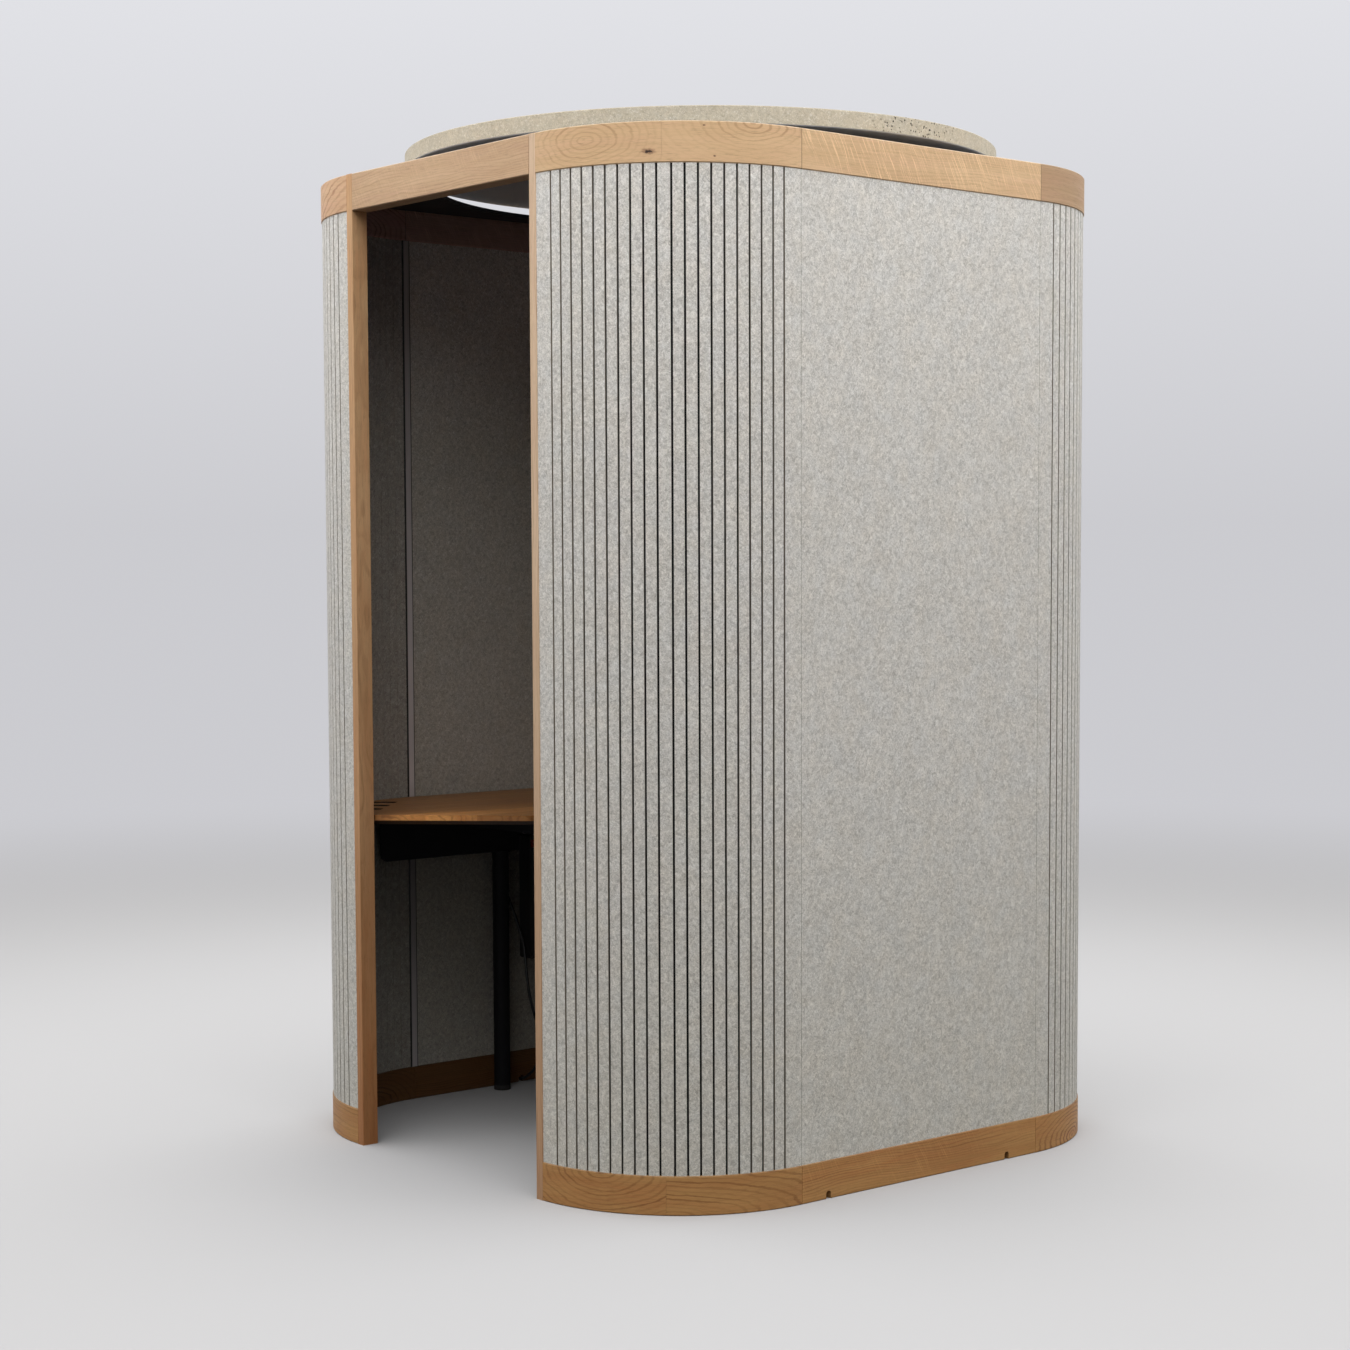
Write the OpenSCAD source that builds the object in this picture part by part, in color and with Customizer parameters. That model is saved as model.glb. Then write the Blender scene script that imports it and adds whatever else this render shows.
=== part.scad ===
// Study carrel: a free-standing felt booth with rounded corners, timber plinth and ring,
// an open doorway, a raised roof disc and a fitted desk on a steel frame.
// Origin at the centre of the footprint on the floor. The doorway faces -Y, the desk is on -X.

/* [Booth] */
// Overall width across the side walls
booth_w = 1460; // [1200:10:1800]
// Overall depth from the doorway face to the back wall
booth_d = 1492; // [1200:10:1800]
// Height of the top of the timber ring
booth_h = 2202; // [1900:10:2600]
// Outer radius of the rounded corners
corner_r = 386; // [310:2:470]
// Thickness of the walls over the timber
wall_t = 46; // [38:1:60]

/* [Timber] */
// Height of the plinth
plinth_h = 82; // [60:1:120]
// Height of the top ring
ring_h = 82; // [60:1:120]
// Chamfer on the long edges of the plinth and the ring
band_chamfer = 2; // [1:0.5:4]
// Open seam between neighbouring pieces
seam_gap = 1; // [0.5:0.1:2]
// Gap at the glued joint in the middle of a timber corner
joint_gap = 0.3; // [0.1:0.1:1]
// Width of a door jamb seen from the front
jamb_w = 22; // [16:1:40]
// How far a jamb's back lies short of the wall's inner face
jamb_short = 6; // [1:1:12]
// How far a jamb reaches past the start of the corner curve
jamb_lap = 6.6; // [2:0.2:12]
// Chamfer on the jamb edges
jamb_chamfer = 1; // [0.5:0.5:3]

/* [Felt panels] */
// Thickness of one felt panel
felt_t = 9; // [7:0.5:12]
// How far the felt lies behind the face of the timber
felt_inset = 2; // [1:0.5:4]
// Grooves in each rounded corner panel
kerf_count = 20; // [8:2:24]
// Width of a groove in an outer corner panel, which the bend opens
kerf_w = 4.5; // [2:0.5:5]
// Width of a groove in an inner corner panel, which the bend closes
kerf_inner_w = 1.2; // [0.8:0.1:4]
// Depth of a groove
kerf_depth = 6; // [3:0.5:6.5]
// Angle between neighbouring grooves
kerf_pitch = 3.97; // [3:0.01:4]
// Extra angle of the strip in the middle of a corner
kerf_mid_extra = 0.51; // [0:0.01:1]
// Width of the metal strip over an inside joint
strip_w = 22; // [16:1:40]
// Thickness of the metal strip
strip_t = 3; // [2:0.5:4]

/* [Cable notches] */
// Width of a cable notch in the plinth
notch_w = 14; // [10:1:24]
// Height of a cable notch
notch_h = 17.5; // [12:0.5:30]
// Place along Y of the front notch in the right plinth
notch_front_y = -284; // [-320:1:-100]
// Place along Y of the back notch in the right plinth
notch_back_y = 264; // [100:1:320]
// Place along Y of the notch in the left plinth
notch_left_y = -30; // [-40:1:-20]

/* [Roof] */
// Thickness of the ceiling board
ceiling_t = 9; // [6:1:18]
// How far the ceiling board lies into the ring
ceiling_lap = 14; // [8:1:20]
// Radius of the round opening in the ceiling board
vent_r = 612; // [450:2:630]
// Height of the air gap under the roof disc
vent_gap = 27.5; // [15:0.5:60]
// Radius of the roof disc
disc_r = 682.5; // [550:0.5:760]
// Thickness of the roof disc
disc_t = 38; // [30:1:60]
// Thickness of the felt round the roof disc
disc_felt_t = 10; // [6:1:16]
// How far the board lies below the top of the disc's felt rim
disc_recess = 3; // [1:1:8]
// Spacers under the roof disc
spacer_count = 4; // [4:1:12]
// Radius of a spacer
spacer_r = 14; // [10:1:20]
// Radius of the bolt through a spacer
bolt_r = 3; // [2:0.5:5]

/* [Desk] */
// Height of the desk surface
desk_h = 758; // [680:1:800]
// Thickness of the desk top
desk_t = 22; // [18:1:40]
// Depth of the desk from its back edge to its straight front
desk_depth = 600; // [480:5:720]
// Gap between the desk and the timber line of the wall
desk_gap = 4; // [4:0.5:10]
// How far the desk runs behind the left jamb
desk_tip_lap = 11.4; // [2:0.2:20]
// Radius between the diagonal edge and the straight front
desk_turn_r = 60; // [30:5:120]
// Depth of the bevel under the front edge
bevel_w = 12; // [6:1:18]
// Height of the bevel under the front edge
bevel_h = 9.5; // [4:0.5:14]
// Cable slots in the desk's front corner
slot_count = 3; // [1:1:4]
// Width of a cable slot
slot_w = 24; // [16:1:36]
// Distance between neighbouring cable slots
slot_pitch = 87; // [60:1:100]
// How far the middle slot lies towards the doorway from the corner's diagonal
slot_shift = 6; // [0:1:20]
// Length of the middle slots, in from the rounded corner
slot_depth = 84; // [50:1:110]

/* [Desk frame] */
// Depth of the wall rail
rail_d = 62; // [50:1:80]
// Height of the wall rail
rail_h = 126; // [90:1:160]
// Sheet thickness of the rail
steel_t = 3; // [2:0.5:5]
// Length of the rail's front plate past each wall joint
rail_past = 135; // [60:1:135]
// Length of the rail's box past each wall joint
box_past = 40; // [10:1:40]
// Radius of the lower corners of the front plate
rail_corner_r = 20; // [5:1:40]
// Length of a desk arm
arm_l = 420; // [250:5:470]
// Height of a desk arm
arm_h = 36; // [25:1:50]
// Width of a desk arm
arm_w = 30; // [20:1:40]
// Distance of a desk arm from the wall joint
arm_in = 30; // [20:1:100]
// Radius of a leg
leg_r = 20.5; // [15:0.5:25]
// Wall of a leg tube
leg_wall = 2; // [1.5:0.5:3]
// Distance between the two legs
leg_span = 244; // [220:2:500]
// Distance from the timber line of the wall to a leg's axis
leg_from_wall = 44; // [40:1:60]
// Radius of the round plate on top of a leg
leg_plate_r = 25; // [22:1:25]
// Height of the rubber foot
foot_h = 12; // [6:1:25]
// Radius of the desk screws
screw_r = 2.5; // [1.5:0.5:4]

/* [Power unit] */
// Width of the power unit
unit_w = 154; // [80:1:160]
// Height of the power unit
unit_h = 314; // [200:1:340]
// Depth of the power unit
unit_d = 44; // [36:1:60]
// Wall of the power unit
unit_wall = 2.5; // [2:0.5:4]
// Depth of the unit's lid
lid_d = 11; // [10:1:16]
// How far the unit overlaps the rail
unit_overlap = 40; // [30:1:80]
// Distance of the switch from the unit's left edge
switch_from_left = 11; // [11:1:60]
// Distance of the switch from the top of the unit
switch_from_top = 22; // [17:1:60]
// Width of the rocker
rocker_w = 14; // [12:1:20]
// Height of the rocker
rocker_h = 19.2; // [16:0.2:26]
// How far a level rocker's ends would stand out of the lid
rocker_proud = 1.5; // [1:0.1:2]
// Half the angle that the rocker tips through
rocker_tip = 8; // [5:1:10]
// Radius of the rocker's pin
pivot_r = 1.2; // [0.8:0.1:1.5]

/* [Supply lead] */
// Diameter of the lead
lead_d = 7; // [7:0.5:8]
// Radius at the middle of the coil's turns
coil_r = 38; // [35:1:42]
// Layers of turns in the coil
coil_layers = 2; // [2:1:3]
// Turns side by side in the coil
coil_across = 3; // [2:1:3]

/* [Hidden] */
$fn = 96;

// Small amount by which a cutter runs past the face that it cuts
over = 1;
// Length that is longer than anything in the booth
far = booth_w + booth_d;

// Colours
oak = [0.79, 0.62, 0.44];
oak_dark = [0.58, 0.40, 0.25];
felt = [0.76, 0.75, 0.72];
disc_felt = [0.74, 0.71, 0.64];
core_grey = [0.35, 0.35, 0.36];
metal = [0.78, 0.78, 0.80];
black = [0.08, 0.08, 0.09];
rubber = [0.12, 0.12, 0.12];

// Plan of the booth
half_w = booth_w / 2;
half_d = booth_d / 2;
turn_x = half_w - corner_r;
turn_y = half_d - corner_r;
inner_x = half_w - wall_t;
inner_y = half_d - wall_t;
inner_r = corner_r - wall_t;
jamb_outer_x = turn_x + jamb_lap;
jamb_d = wall_t - jamb_short;
door_half = jamb_outer_x - jamb_w;
jamb_angle = asin(jamb_lap / corner_r);
panel_h = booth_h - ring_h - plinth_h;
ring_z = booth_h - ring_h;
skin = felt_inset + felt_t;
// The back of a joint strip bears on the curved felt beside the joint
strip_bow_r = inner_r + felt_inset;
strip_bow = strip_bow_r - sqrt(pow(strip_bow_r, 2) - pow(strip_w / 2, 2));
strip_face_x = inner_x + felt_inset - strip_bow;
strip_face_y = inner_y + felt_inset - strip_bow;

// Corners go round from the front right, anticlockwise seen from above
corner_x = [1, 1, -1, -1];
corner_y = [-1, 1, 1, -1];
corner_turn = [-90, 0, 90, 180];
// Middle of a corner panel, seen from its own first end: the jambs take a little of the front ones
corner_mid = [45 + jamb_angle / 2, 45, 45, 45 - jamb_angle / 2];
front_right = 0;
back_right = 1;
back_left = 2;
front_left = 3;

// Roof
ceiling_z = booth_h - ceiling_t;
ceiling_clearance = 0.5;
disc_z = booth_h + vent_gap;
spacer_ring_r = (vent_r + disc_r) / 2;
bolt_clearance = 0.3;
bolt_head_r = 2 * bolt_r;
bolt_head_h = 4;
bolt_grip = 12;

// Desk, in plan. The diagonal edge runs at 45 degrees from behind the left jamb.
desk_back_x = -(inner_x - desk_gap);
desk_front_x = desk_back_x + desk_depth;
desk_end_y = inner_y - desk_gap;
desk_under = desk_h - desk_t;
tip_x = -(door_half + desk_tip_lap);
diagonal_c = -desk_end_y - tip_x;
turn_centre = [
    desk_front_x - desk_turn_r,
    desk_front_x + diagonal_c + desk_turn_r * tan(22.5)
];
// The turned edge stands this little past the straight ones, so that they meet in clean lines
turn_blend = 0.02;
// Distances from the booth's centre in the desk's diagonal frame
corner_reach = (turn_x + turn_y) / sqrt(2) + inner_r - desk_gap;
slot_mid_n = (turn_x - turn_y) / sqrt(2) - slot_shift;

// Desk frame
rail_back_x = -(strip_face_x - strip_t);
rail_front_x = rail_back_x + rail_d;
rail_z = desk_under - rail_h;
arm_y = turn_y - arm_in;
leg_x = -(inner_x - leg_from_wall);
leg_plate_t = 4;
foot_wall = 0.4;
screw_head_r = 2 * screw_r;
screw_head_h = 3;
desk_bite = 14;
arm_screw_x = [60, arm_l - 60];
arm_wall = 2;

// Power unit
unit_x = rail_front_x;
unit_top = rail_z + unit_overlap;
unit_face_x = unit_x + unit_d;
unit_corner_r = 5;
boss_r = 5;
boss_in = 12;
unit_screw_r = 1.5;
switch_y = -unit_w / 2 + switch_from_left;
switch_z = unit_top - switch_from_top;
rocker_dip = 0.1;
rocker_back = 3.2;
rocker_waist = 3;
rocker_side = 1;
pivot_in = 2.9;
pivot_x = unit_face_x - pivot_in;
pivot_reach = 1.5;
pivot_clearance = 0.05;
pocket_gap = 0.5;
pocket_end_gap = 0.75;
pocket_wall = 2.5;
pocket_d = 7.5;
pocket_w = rocker_w + 2 * pocket_gap;
pocket_h = rocker_h + 2 * pocket_end_gap;

// Supply lead: it leaves the rail behind the front leg, drops past the power unit's corner and
// goes out through the left plinth's notch. Points chosen by hand, in millimetres: X counts from
// the timber line of the left wall, Y from the booth's middle and Z from the floor.
lead_r = lead_d / 2;
gland_in = 20;
gland_from_leg = 23;
gland_x = -inner_x + gland_in;
gland_y = -leg_span / 2 + gland_from_leg;
gland_l = 35;
gland_collar_h = 6;
gland_neck_r = 5;
gland_top_r = 7;
gland_tip_r = 4.6;
lead_route = [
    [20, -99, 575], [20, -99, 556], [21, -98, 536], [24, -96, 516],
    [29, -92, 497], [36, -89, 479], [45, -88, 462], [55, -87, 445],
    [65, -87, 427], [75, -87, 409], [84, -87, 390], [91, -86, 371],
    [95, -86, 351], [97, -85, 331], [98, -84, 311], [98, -82, 291],
    [98, -79, 271], [97, -75, 251], [96, -70, 232], [95, -64, 213],
    [93, -57, 194], [90, -49, 176], [87, -41, 158], [82, -33, 141],
    [76, -26, 124], [70, -20, 107], [63, -16, 90], [56, -13, 72],
    [48, -13, 54], [38, -16, 37], [25, -21, 22], [9, -27, 11],
    [-10, -30, 6], [-30, -30, 5], [-50, -30, 5], [-66, -30, 5],
    [-80, -30, 5]
];
lead_end = lead_route[len(lead_route) - 1];
tie_t = 1.2;
tie_w = 8;
tie_slack = 0.3;
tie_angle = 45;
coil_z = tie_t;
coil_half = coil_across * lead_d / 2;
coil_h = coil_layers * lead_d;
coil_out_r = coil_r + coil_half;
coil_turn_r = coil_out_r - lead_r;
// The lead meets the coil's outermost turn on a tangent and ends where it enters the coil
coil_entry = sqrt(pow(coil_out_r + lead_r, 2) - pow(coil_turn_r, 2));
coil_bite = 2;
coil_x = -inner_x + lead_end[0] - coil_entry + coil_bite;
coil_y = lead_end[1] + coil_turn_r;
plug_w = 37;
plug_h = 22;
plug_l = 40;
plug_chamfer = 5;
plug_relief_l = 30;
plug_relief_r = 5.2;
plug_tip_r = 4;
plug_pin_r = 2.4;
plug_pin_l = 19;
plug_pin_span = 19;
plug_off = 24;
plug_x = coil_x - coil_turn_r;
plug_y = coil_y + plug_off;

// ---------------------------------------------------------------- shared shapes

// Rounded rectangle in plan, with its half sizes and corner radius
module plan(hx, hy, r) {
    square([2 * (hx - r), 2 * hy], center = true);
    square([2 * hx, 2 * (hy - r)], center = true);
    for (x = [-1, 1], y = [-1, 1])
        translate([x * (hx - r), y * (hy - r)])
            circle(r);
}

// Section of a wall layer with chamfered edges: from d_in to d_out behind the face, h high
module layer_section(d_out, d_in, h, c) {
    polygon([
        [-d_out - c, 0], [-d_out, c], [-d_out, h - c], [-d_out - c, h],
        [-d_in + c, h], [-d_in, h - c], [-d_in, c], [-d_in + c, 0]
    ]);
}

// A layer of a corner, from its first tangent to its second
module corner_layer(q, d_out, d_in, z, h, c) {
    translate([corner_x[q] * turn_x, corner_y[q] * turn_y, z])
        rotate(corner_turn[q])
            rotate_extrude(angle = 90)
                translate([corner_r, 0])
                    layer_section(d_out, d_in, h, c);
}

// A layer of a straight wall, l long, whose face looks along +X before it is turned
module wall_layer(face, l, d_out, d_in, z, h, c) {
    translate([face, l / 2, z])
        rotate([90, 0, 0])
            linear_extrude(l)
                layer_section(d_out, d_in, h, c);
}

side_l = 2 * turn_y - 2 * seam_gap;
back_l = 2 * turn_x - 2 * seam_gap;

module right_layer(d_out, d_in, z, h, c) {
    wall_layer(half_w, side_l, d_out, d_in, z, h, c);
}

module left_layer(d_out, d_in, z, h, c) {
    rotate(180)
        wall_layer(half_w, side_l, d_out, d_in, z, h, c);
}

module back_layer(d_out, d_in, z, h, c) {
    rotate(90)
        wall_layer(half_d, back_l, d_out, d_in, z, h, c);
}

// Space of the doorway and its jambs, which the front corners stop at
module door_space() {
    translate([-jamb_outer_x, -half_d - over, -over])
        cube([2 * jamb_outer_x, wall_t + corner_r, booth_h + 2 * over]);
}

// Seat that the ceiling board needs in the ring, the lintel and the jambs
module ceiling_seat() {
    translate([0, 0, ceiling_z])
        linear_extrude(ceiling_t + over)
            plan(inner_x + ceiling_lap, inner_y + ceiling_lap, inner_r + ceiling_lap);
}

// Thin cut through the middle of a corner, where its two timber pieces meet
module corner_seam(q) {
    translate([corner_x[q] * turn_x, corner_y[q] * turn_y, -over])
        rotate(corner_turn[q] + 45)
            translate([inner_r - over, -joint_gap / 2, 0])
                cube([wall_t + 2 * over, joint_gap, booth_h + 2 * over]);
}

// ---------------------------------------------------------------- timber

module notch(y) {
    translate([0, y, 0])
        rotate([0, 90, 0])
            translate([0, 0, inner_x - over]) {
                translate([-(notch_h - notch_w / 2), 0, 0])
                    cylinder(r = notch_w / 2, h = wall_t + 2 * over);
                translate([-(notch_h - notch_w / 2), -notch_w / 2, 0])
                    cube([notch_h - notch_w / 2 + over, notch_w, wall_t + 2 * over]);
            }
}

module plinth_left() {
    color(oak_dark)
        difference() {
            left_layer(0, wall_t, 0, plinth_h, band_chamfer);
            rotate(180)
                notch(-notch_left_y);
        }
}

module plinth_right() {
    color(oak_dark)
        difference() {
            right_layer(0, wall_t, 0, plinth_h, band_chamfer);
            notch(notch_front_y);
            notch(notch_back_y);
        }
}

module plinth_back() {
    color(oak_dark)
        back_layer(0, wall_t, 0, plinth_h, band_chamfer);
}

module plinth_corner(q) {
    color(oak_dark)
        difference() {
            corner_layer(q, 0, wall_t, 0, plinth_h, band_chamfer);
            corner_seam(q);
            door_space();
        }
}

module ring_left() {
    color(oak)
        difference() {
            left_layer(0, wall_t, ring_z, ring_h, band_chamfer);
            ceiling_seat();
        }
}

module ring_right() {
    color(oak)
        difference() {
            right_layer(0, wall_t, ring_z, ring_h, band_chamfer);
            ceiling_seat();
        }
}

module ring_back() {
    color(oak)
        difference() {
            back_layer(0, wall_t, ring_z, ring_h, band_chamfer);
            ceiling_seat();
        }
}

module ring_corner(q) {
    color(oak)
        difference() {
            corner_layer(q, 0, wall_t, ring_z, ring_h, band_chamfer);
            corner_seam(q);
            door_space();
            ceiling_seat();
        }
}

module door_lintel() {
    color(oak)
        difference() {
            rotate(-90)
                wall_layer(half_d, 2 * door_half - seam_gap, 0, wall_t, ring_z, ring_h, band_chamfer);
            ceiling_seat();
        }
}

module jamb(side) {
    color(oak)
        difference() {
            translate([side * (door_half + jamb_w / 2), -half_d + jamb_d / 2, 0])
                linear_extrude(booth_h)
                    chamfered_rectangle(jamb_w, jamb_d, jamb_chamfer);
            ceiling_seat();
        }
}

module chamfered_rectangle(w, d, c) {
    x = w / 2;
    y = d / 2;
    polygon([
        [-x + c, -y], [x - c, -y], [x, -y + c], [x, y - c],
        [x - c, y], [-x + c, y], [-x, y - c], [-x, -y + c]
    ]);
}

// ---------------------------------------------------------------- cores and felt

module core_left() {
    color(core_grey)
        left_layer(skin, wall_t - skin, plinth_h, panel_h, 0);
}

module core_right() {
    color(core_grey)
        right_layer(skin, wall_t - skin, plinth_h, panel_h, 0);
}

module core_back() {
    color(core_grey)
        back_layer(skin, wall_t - skin, plinth_h, panel_h, 0);
}

module core_corner(q) {
    color(core_grey)
        difference() {
            corner_layer(q, skin, wall_t - skin, plinth_h, panel_h, 0);
            door_space();
        }
}

function kerf_angle(q, k) =
    corner_mid[q] + (k - (kerf_count - 1) / 2) * kerf_pitch
    + (k < kerf_count / 2 ? -1 : 1) * kerf_mid_extra / 2;

// Grooves of a corner panel, cut between two radii
module kerfs(q, r_from, r_to, w) {
    translate([corner_x[q] * turn_x, corner_y[q] * turn_y, plinth_h - over])
        for (k = [0 : kerf_count - 1])
            rotate(corner_turn[q] + kerf_angle(q, k))
                translate([r_from, -w / 2, 0])
                    cube([r_to - r_from, w, panel_h + 2 * over]);
}

module felt_outer_left() {
    color(felt)
        left_layer(felt_inset, skin, plinth_h, panel_h, 0);
}

module felt_outer_right() {
    color(felt)
        right_layer(felt_inset, skin, plinth_h, panel_h, 0);
}

module felt_outer_back() {
    color(felt)
        back_layer(felt_inset, skin, plinth_h, panel_h, 0);
}

module felt_outer_corner(q) {
    face_r = corner_r - felt_inset;
    color(felt)
        difference() {
            corner_layer(q, felt_inset, skin, plinth_h, panel_h, 0);
            kerfs(q, face_r - kerf_depth, face_r + over, kerf_w);
            door_space();
        }
}

module felt_inner_left() {
    color(felt)
        left_layer(wall_t - skin, wall_t - felt_inset, plinth_h, panel_h, 0);
}

module felt_inner_right() {
    color(felt)
        right_layer(wall_t - skin, wall_t - felt_inset, plinth_h, panel_h, 0);
}

module felt_inner_back() {
    color(felt)
        back_layer(wall_t - skin, wall_t - felt_inset, plinth_h, panel_h, 0);
}

module felt_inner_corner(q) {
    face_r = inner_r + felt_inset;
    color(felt)
        difference() {
            corner_layer(q, wall_t - skin, wall_t - felt_inset, plinth_h, panel_h, 0);
            kerfs(q, face_r - over, face_r + kerf_depth, kerf_inner_w);
            door_space();
        }
}

// One strip that covers an inside joint, its back on the felt and its face looking along -X
module joint_strip(face) {
    c = strip_t / 2;
    translate([face, 0, plinth_h])
        linear_extrude(panel_h)
            polygon([
                [0, -strip_w / 2], [0, strip_w / 2], [-strip_t + c, strip_w / 2],
                [-strip_t, strip_w / 2 - c], [-strip_t, -strip_w / 2 + c],
                [-strip_t + c, -strip_w / 2]
            ]);
}

module joint_strips() {
    color(metal) {
        for (turn = [0, 180], y = [-turn_y, turn_y])
            rotate(turn)
                translate([0, y, 0])
                    joint_strip(strip_face_x);
        for (x = [-turn_x, turn_x])
            rotate(90)
                translate([0, x, 0])
                    joint_strip(strip_face_y);
    }
}

// ---------------------------------------------------------------- roof

module on_spacers() {
    for (k = [0 : spacer_count - 1])
        rotate((k + 0.5) * 360 / spacer_count)
            translate([spacer_ring_r, 0, 0])
                children();
}

module ceiling_board() {
    lap = ceiling_lap - ceiling_clearance;
    color(black)
        difference() {
            translate([0, 0, ceiling_z])
                linear_extrude(ceiling_t)
                    plan(inner_x + lap, inner_y + lap, inner_r + lap);
            translate([0, 0, ceiling_z - over])
                cylinder(r = vent_r, h = ceiling_t + 2 * over, $fn = 180);
            on_spacers()
                translate([0, 0, ceiling_z - over])
                    cylinder(r = bolt_r + bolt_clearance, h = ceiling_t + 2 * over, $fn = 32);
        }
}

module roof_spacers() {
    color(black)
        on_spacers()
            translate([0, 0, booth_h])
                difference() {
                    cylinder(r = spacer_r, h = vent_gap, $fn = 48);
                    translate([0, 0, -over])
                        cylinder(r = bolt_r + bolt_clearance, h = vent_gap + 2 * over, $fn = 32);
                }
}

module roof_bolts() {
    color(metal)
        on_spacers() {
            translate([0, 0, ceiling_z - bolt_head_h])
                cylinder(r = bolt_head_r, h = bolt_head_h, $fn = 32);
            translate([0, 0, ceiling_z - over])
                cylinder(r = bolt_r, h = ceiling_t + vent_gap + disc_felt_t + bolt_grip + over, $fn = 32);
        }
}

// Felt cover of the disc: a dish whose rim wraps the board
module roof_disc_felt() {
    color(disc_felt)
        translate([0, 0, disc_z])
            difference() {
                rotate_extrude($fn = 180)
                    polygon([
                        [0, 0], [disc_r - band_chamfer, 0], [disc_r, band_chamfer],
                        [disc_r, disc_t - band_chamfer], [disc_r - band_chamfer, disc_t],
                        [disc_r - disc_felt_t, disc_t], [disc_r - disc_felt_t, disc_felt_t],
                        [0, disc_felt_t]
                    ]);
                on_spacers()
                    translate([0, 0, -over])
                        cylinder(r = bolt_r + bolt_clearance, h = disc_felt_t + 2 * over, $fn = 32);
            }
}

module roof_disc_board() {
    color(black)
        difference() {
            translate([0, 0, disc_z + disc_felt_t])
                cylinder(r = disc_r - disc_felt_t, h = disc_t - disc_felt_t - disc_recess, $fn = 180);
            on_spacers()
                translate([0, 0, disc_z + disc_felt_t - over])
                    cylinder(r = bolt_r, h = bolt_grip + over, $fn = 32);
        }
}

// ---------------------------------------------------------------- desk

// Section of what is cut away past a free edge, which stands at 0, with the bevel under it
module past_edge() {
    foot = bevel_w * (1 + over / bevel_h);
    polygon([
        [0, desk_t + over], [0, bevel_h], [-foot, -over], [far, -over], [far, desk_t + over]
    ]);
}

module along_edge() {
    rotate([90, 0, 0])
        linear_extrude(2 * far, center = true)
            past_edge();
}

// What is cut away round the turn between the two edges: a wedge with the turned edge left in it
module past_turn() {
    r = desk_turn_r + turn_blend;
    foot = r - bevel_w * (1 + over / bevel_h);
    reach = 2 * desk_turn_r;
    difference() {
        translate([0, 0, -over])
            linear_extrude(desk_t + 2 * over)
                polygon([[0, 0], reach * [cos(-45), sin(-45)], [reach, 0]]);
        rotate_extrude()
            polygon([
                [0, -2 * over], [foot, -2 * over], [foot, -over], [r, bevel_h],
                [r, desk_t + 2 * over], [0, desk_t + 2 * over]
            ]);
    }
}

module desk_board() {
    difference() {
        linear_extrude(desk_t)
            plan(inner_x - desk_gap, inner_y - desk_gap, inner_r - desk_gap);
        translate([desk_front_x, 0, 0])
            along_edge();
        translate([desk_front_x, desk_front_x + diagonal_c, 0])
            rotate(-45)
                along_edge();
        translate([turn_centre[0], turn_centre[1], 0])
            past_turn();
    }
}

// Places children along the slots: their X runs out to the rounded corner of the booth
module on_slots() {
    for (k = [0 : slot_count - 1])
        rotate(45)
            translate([-corner_reach, slot_mid_n + (k - (slot_count - 1) / 2) * slot_pitch, 0])
                children();
}

module desk_top() {
    color(oak)
        difference() {
            translate([0, 0, desk_under])
                desk_board();
            on_slots()
                translate([0, 0, desk_under - over]) {
                    translate([slot_depth - slot_w / 2, 0, 0])
                        cylinder(r = slot_w / 2, h = desk_t + 2 * over, $fn = 48);
                    translate([-slot_depth, -slot_w / 2, 0])
                        cube([2 * slot_depth - slot_w / 2, slot_w, desk_t + 2 * over]);
                }
            on_arm_screws()
                translate([0, 0, desk_under - over])
                    cylinder(r = screw_r, h = desk_bite + over, $fn = 32);
        }
}

module on_arm_screws() {
    for (y = [-arm_y, arm_y], x = arm_screw_x)
        translate([rail_front_x + x, y, 0])
            children();
}

module on_unit_screws() {
    for (y = [-unit_w / 4, unit_w / 4])
        translate([unit_x, y, rail_z + unit_overlap / 2])
            rotate([0, 90, 0])
                children();
}

// Rail along the wall: a sheet box with a longer front plate
module desk_rail() {
    box_l = 2 * (turn_y + box_past);
    plate_l = 2 * (turn_y + rail_past);
    color(black)
        difference() {
            union() {
                difference() {
                    translate([rail_back_x, -box_l / 2, rail_z])
                        cube([rail_d, box_l, rail_h]);
                    translate([rail_back_x + steel_t, -box_l / 2 - over, rail_z + steel_t])
                        cube([rail_d - 2 * steel_t, box_l + 2 * over, rail_h - 2 * steel_t]);
                }
                translate([rail_front_x - steel_t, 0, rail_z])
                    rotate([90, 0, 90])
                        linear_extrude(steel_t)
                            rail_plate(plate_l);
            }
            translate([gland_x, gland_y, rail_z - over])
                cylinder(r = gland_neck_r, h = steel_t + 2 * over, $fn = 32);
            on_unit_screws()
                translate([0, 0, -steel_t - over])
                    cylinder(r = screw_r, h = steel_t + 2 * over, $fn = 32);
        }
}

module rail_plate(l) {
    r = rail_corner_r;
    translate([-l / 2, r])
        square([l, rail_h - r]);
    translate([-l / 2 + r, 0])
        square([l - 2 * r, rail_h]);
    for (x = [-1, 1])
        translate([x * (l / 2 - r), r])
            circle(r);
}

// Arm under the desk: a tube with a closed front end
module desk_arm(side) {
    color(black)
        translate([rail_front_x, side * arm_y - arm_w / 2, desk_under - arm_h])
            difference() {
                cube([arm_l, arm_w, arm_h]);
                translate([-over, arm_wall, arm_wall])
                    cube([arm_l - arm_wall + over, arm_w - 2 * arm_wall, arm_h - 2 * arm_wall]);
                for (x = arm_screw_x)
                    translate([x, arm_w / 2, -over])
                        cylinder(r = screw_r, h = arm_h + 2 * over, $fn = 32);
            }
}

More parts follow.
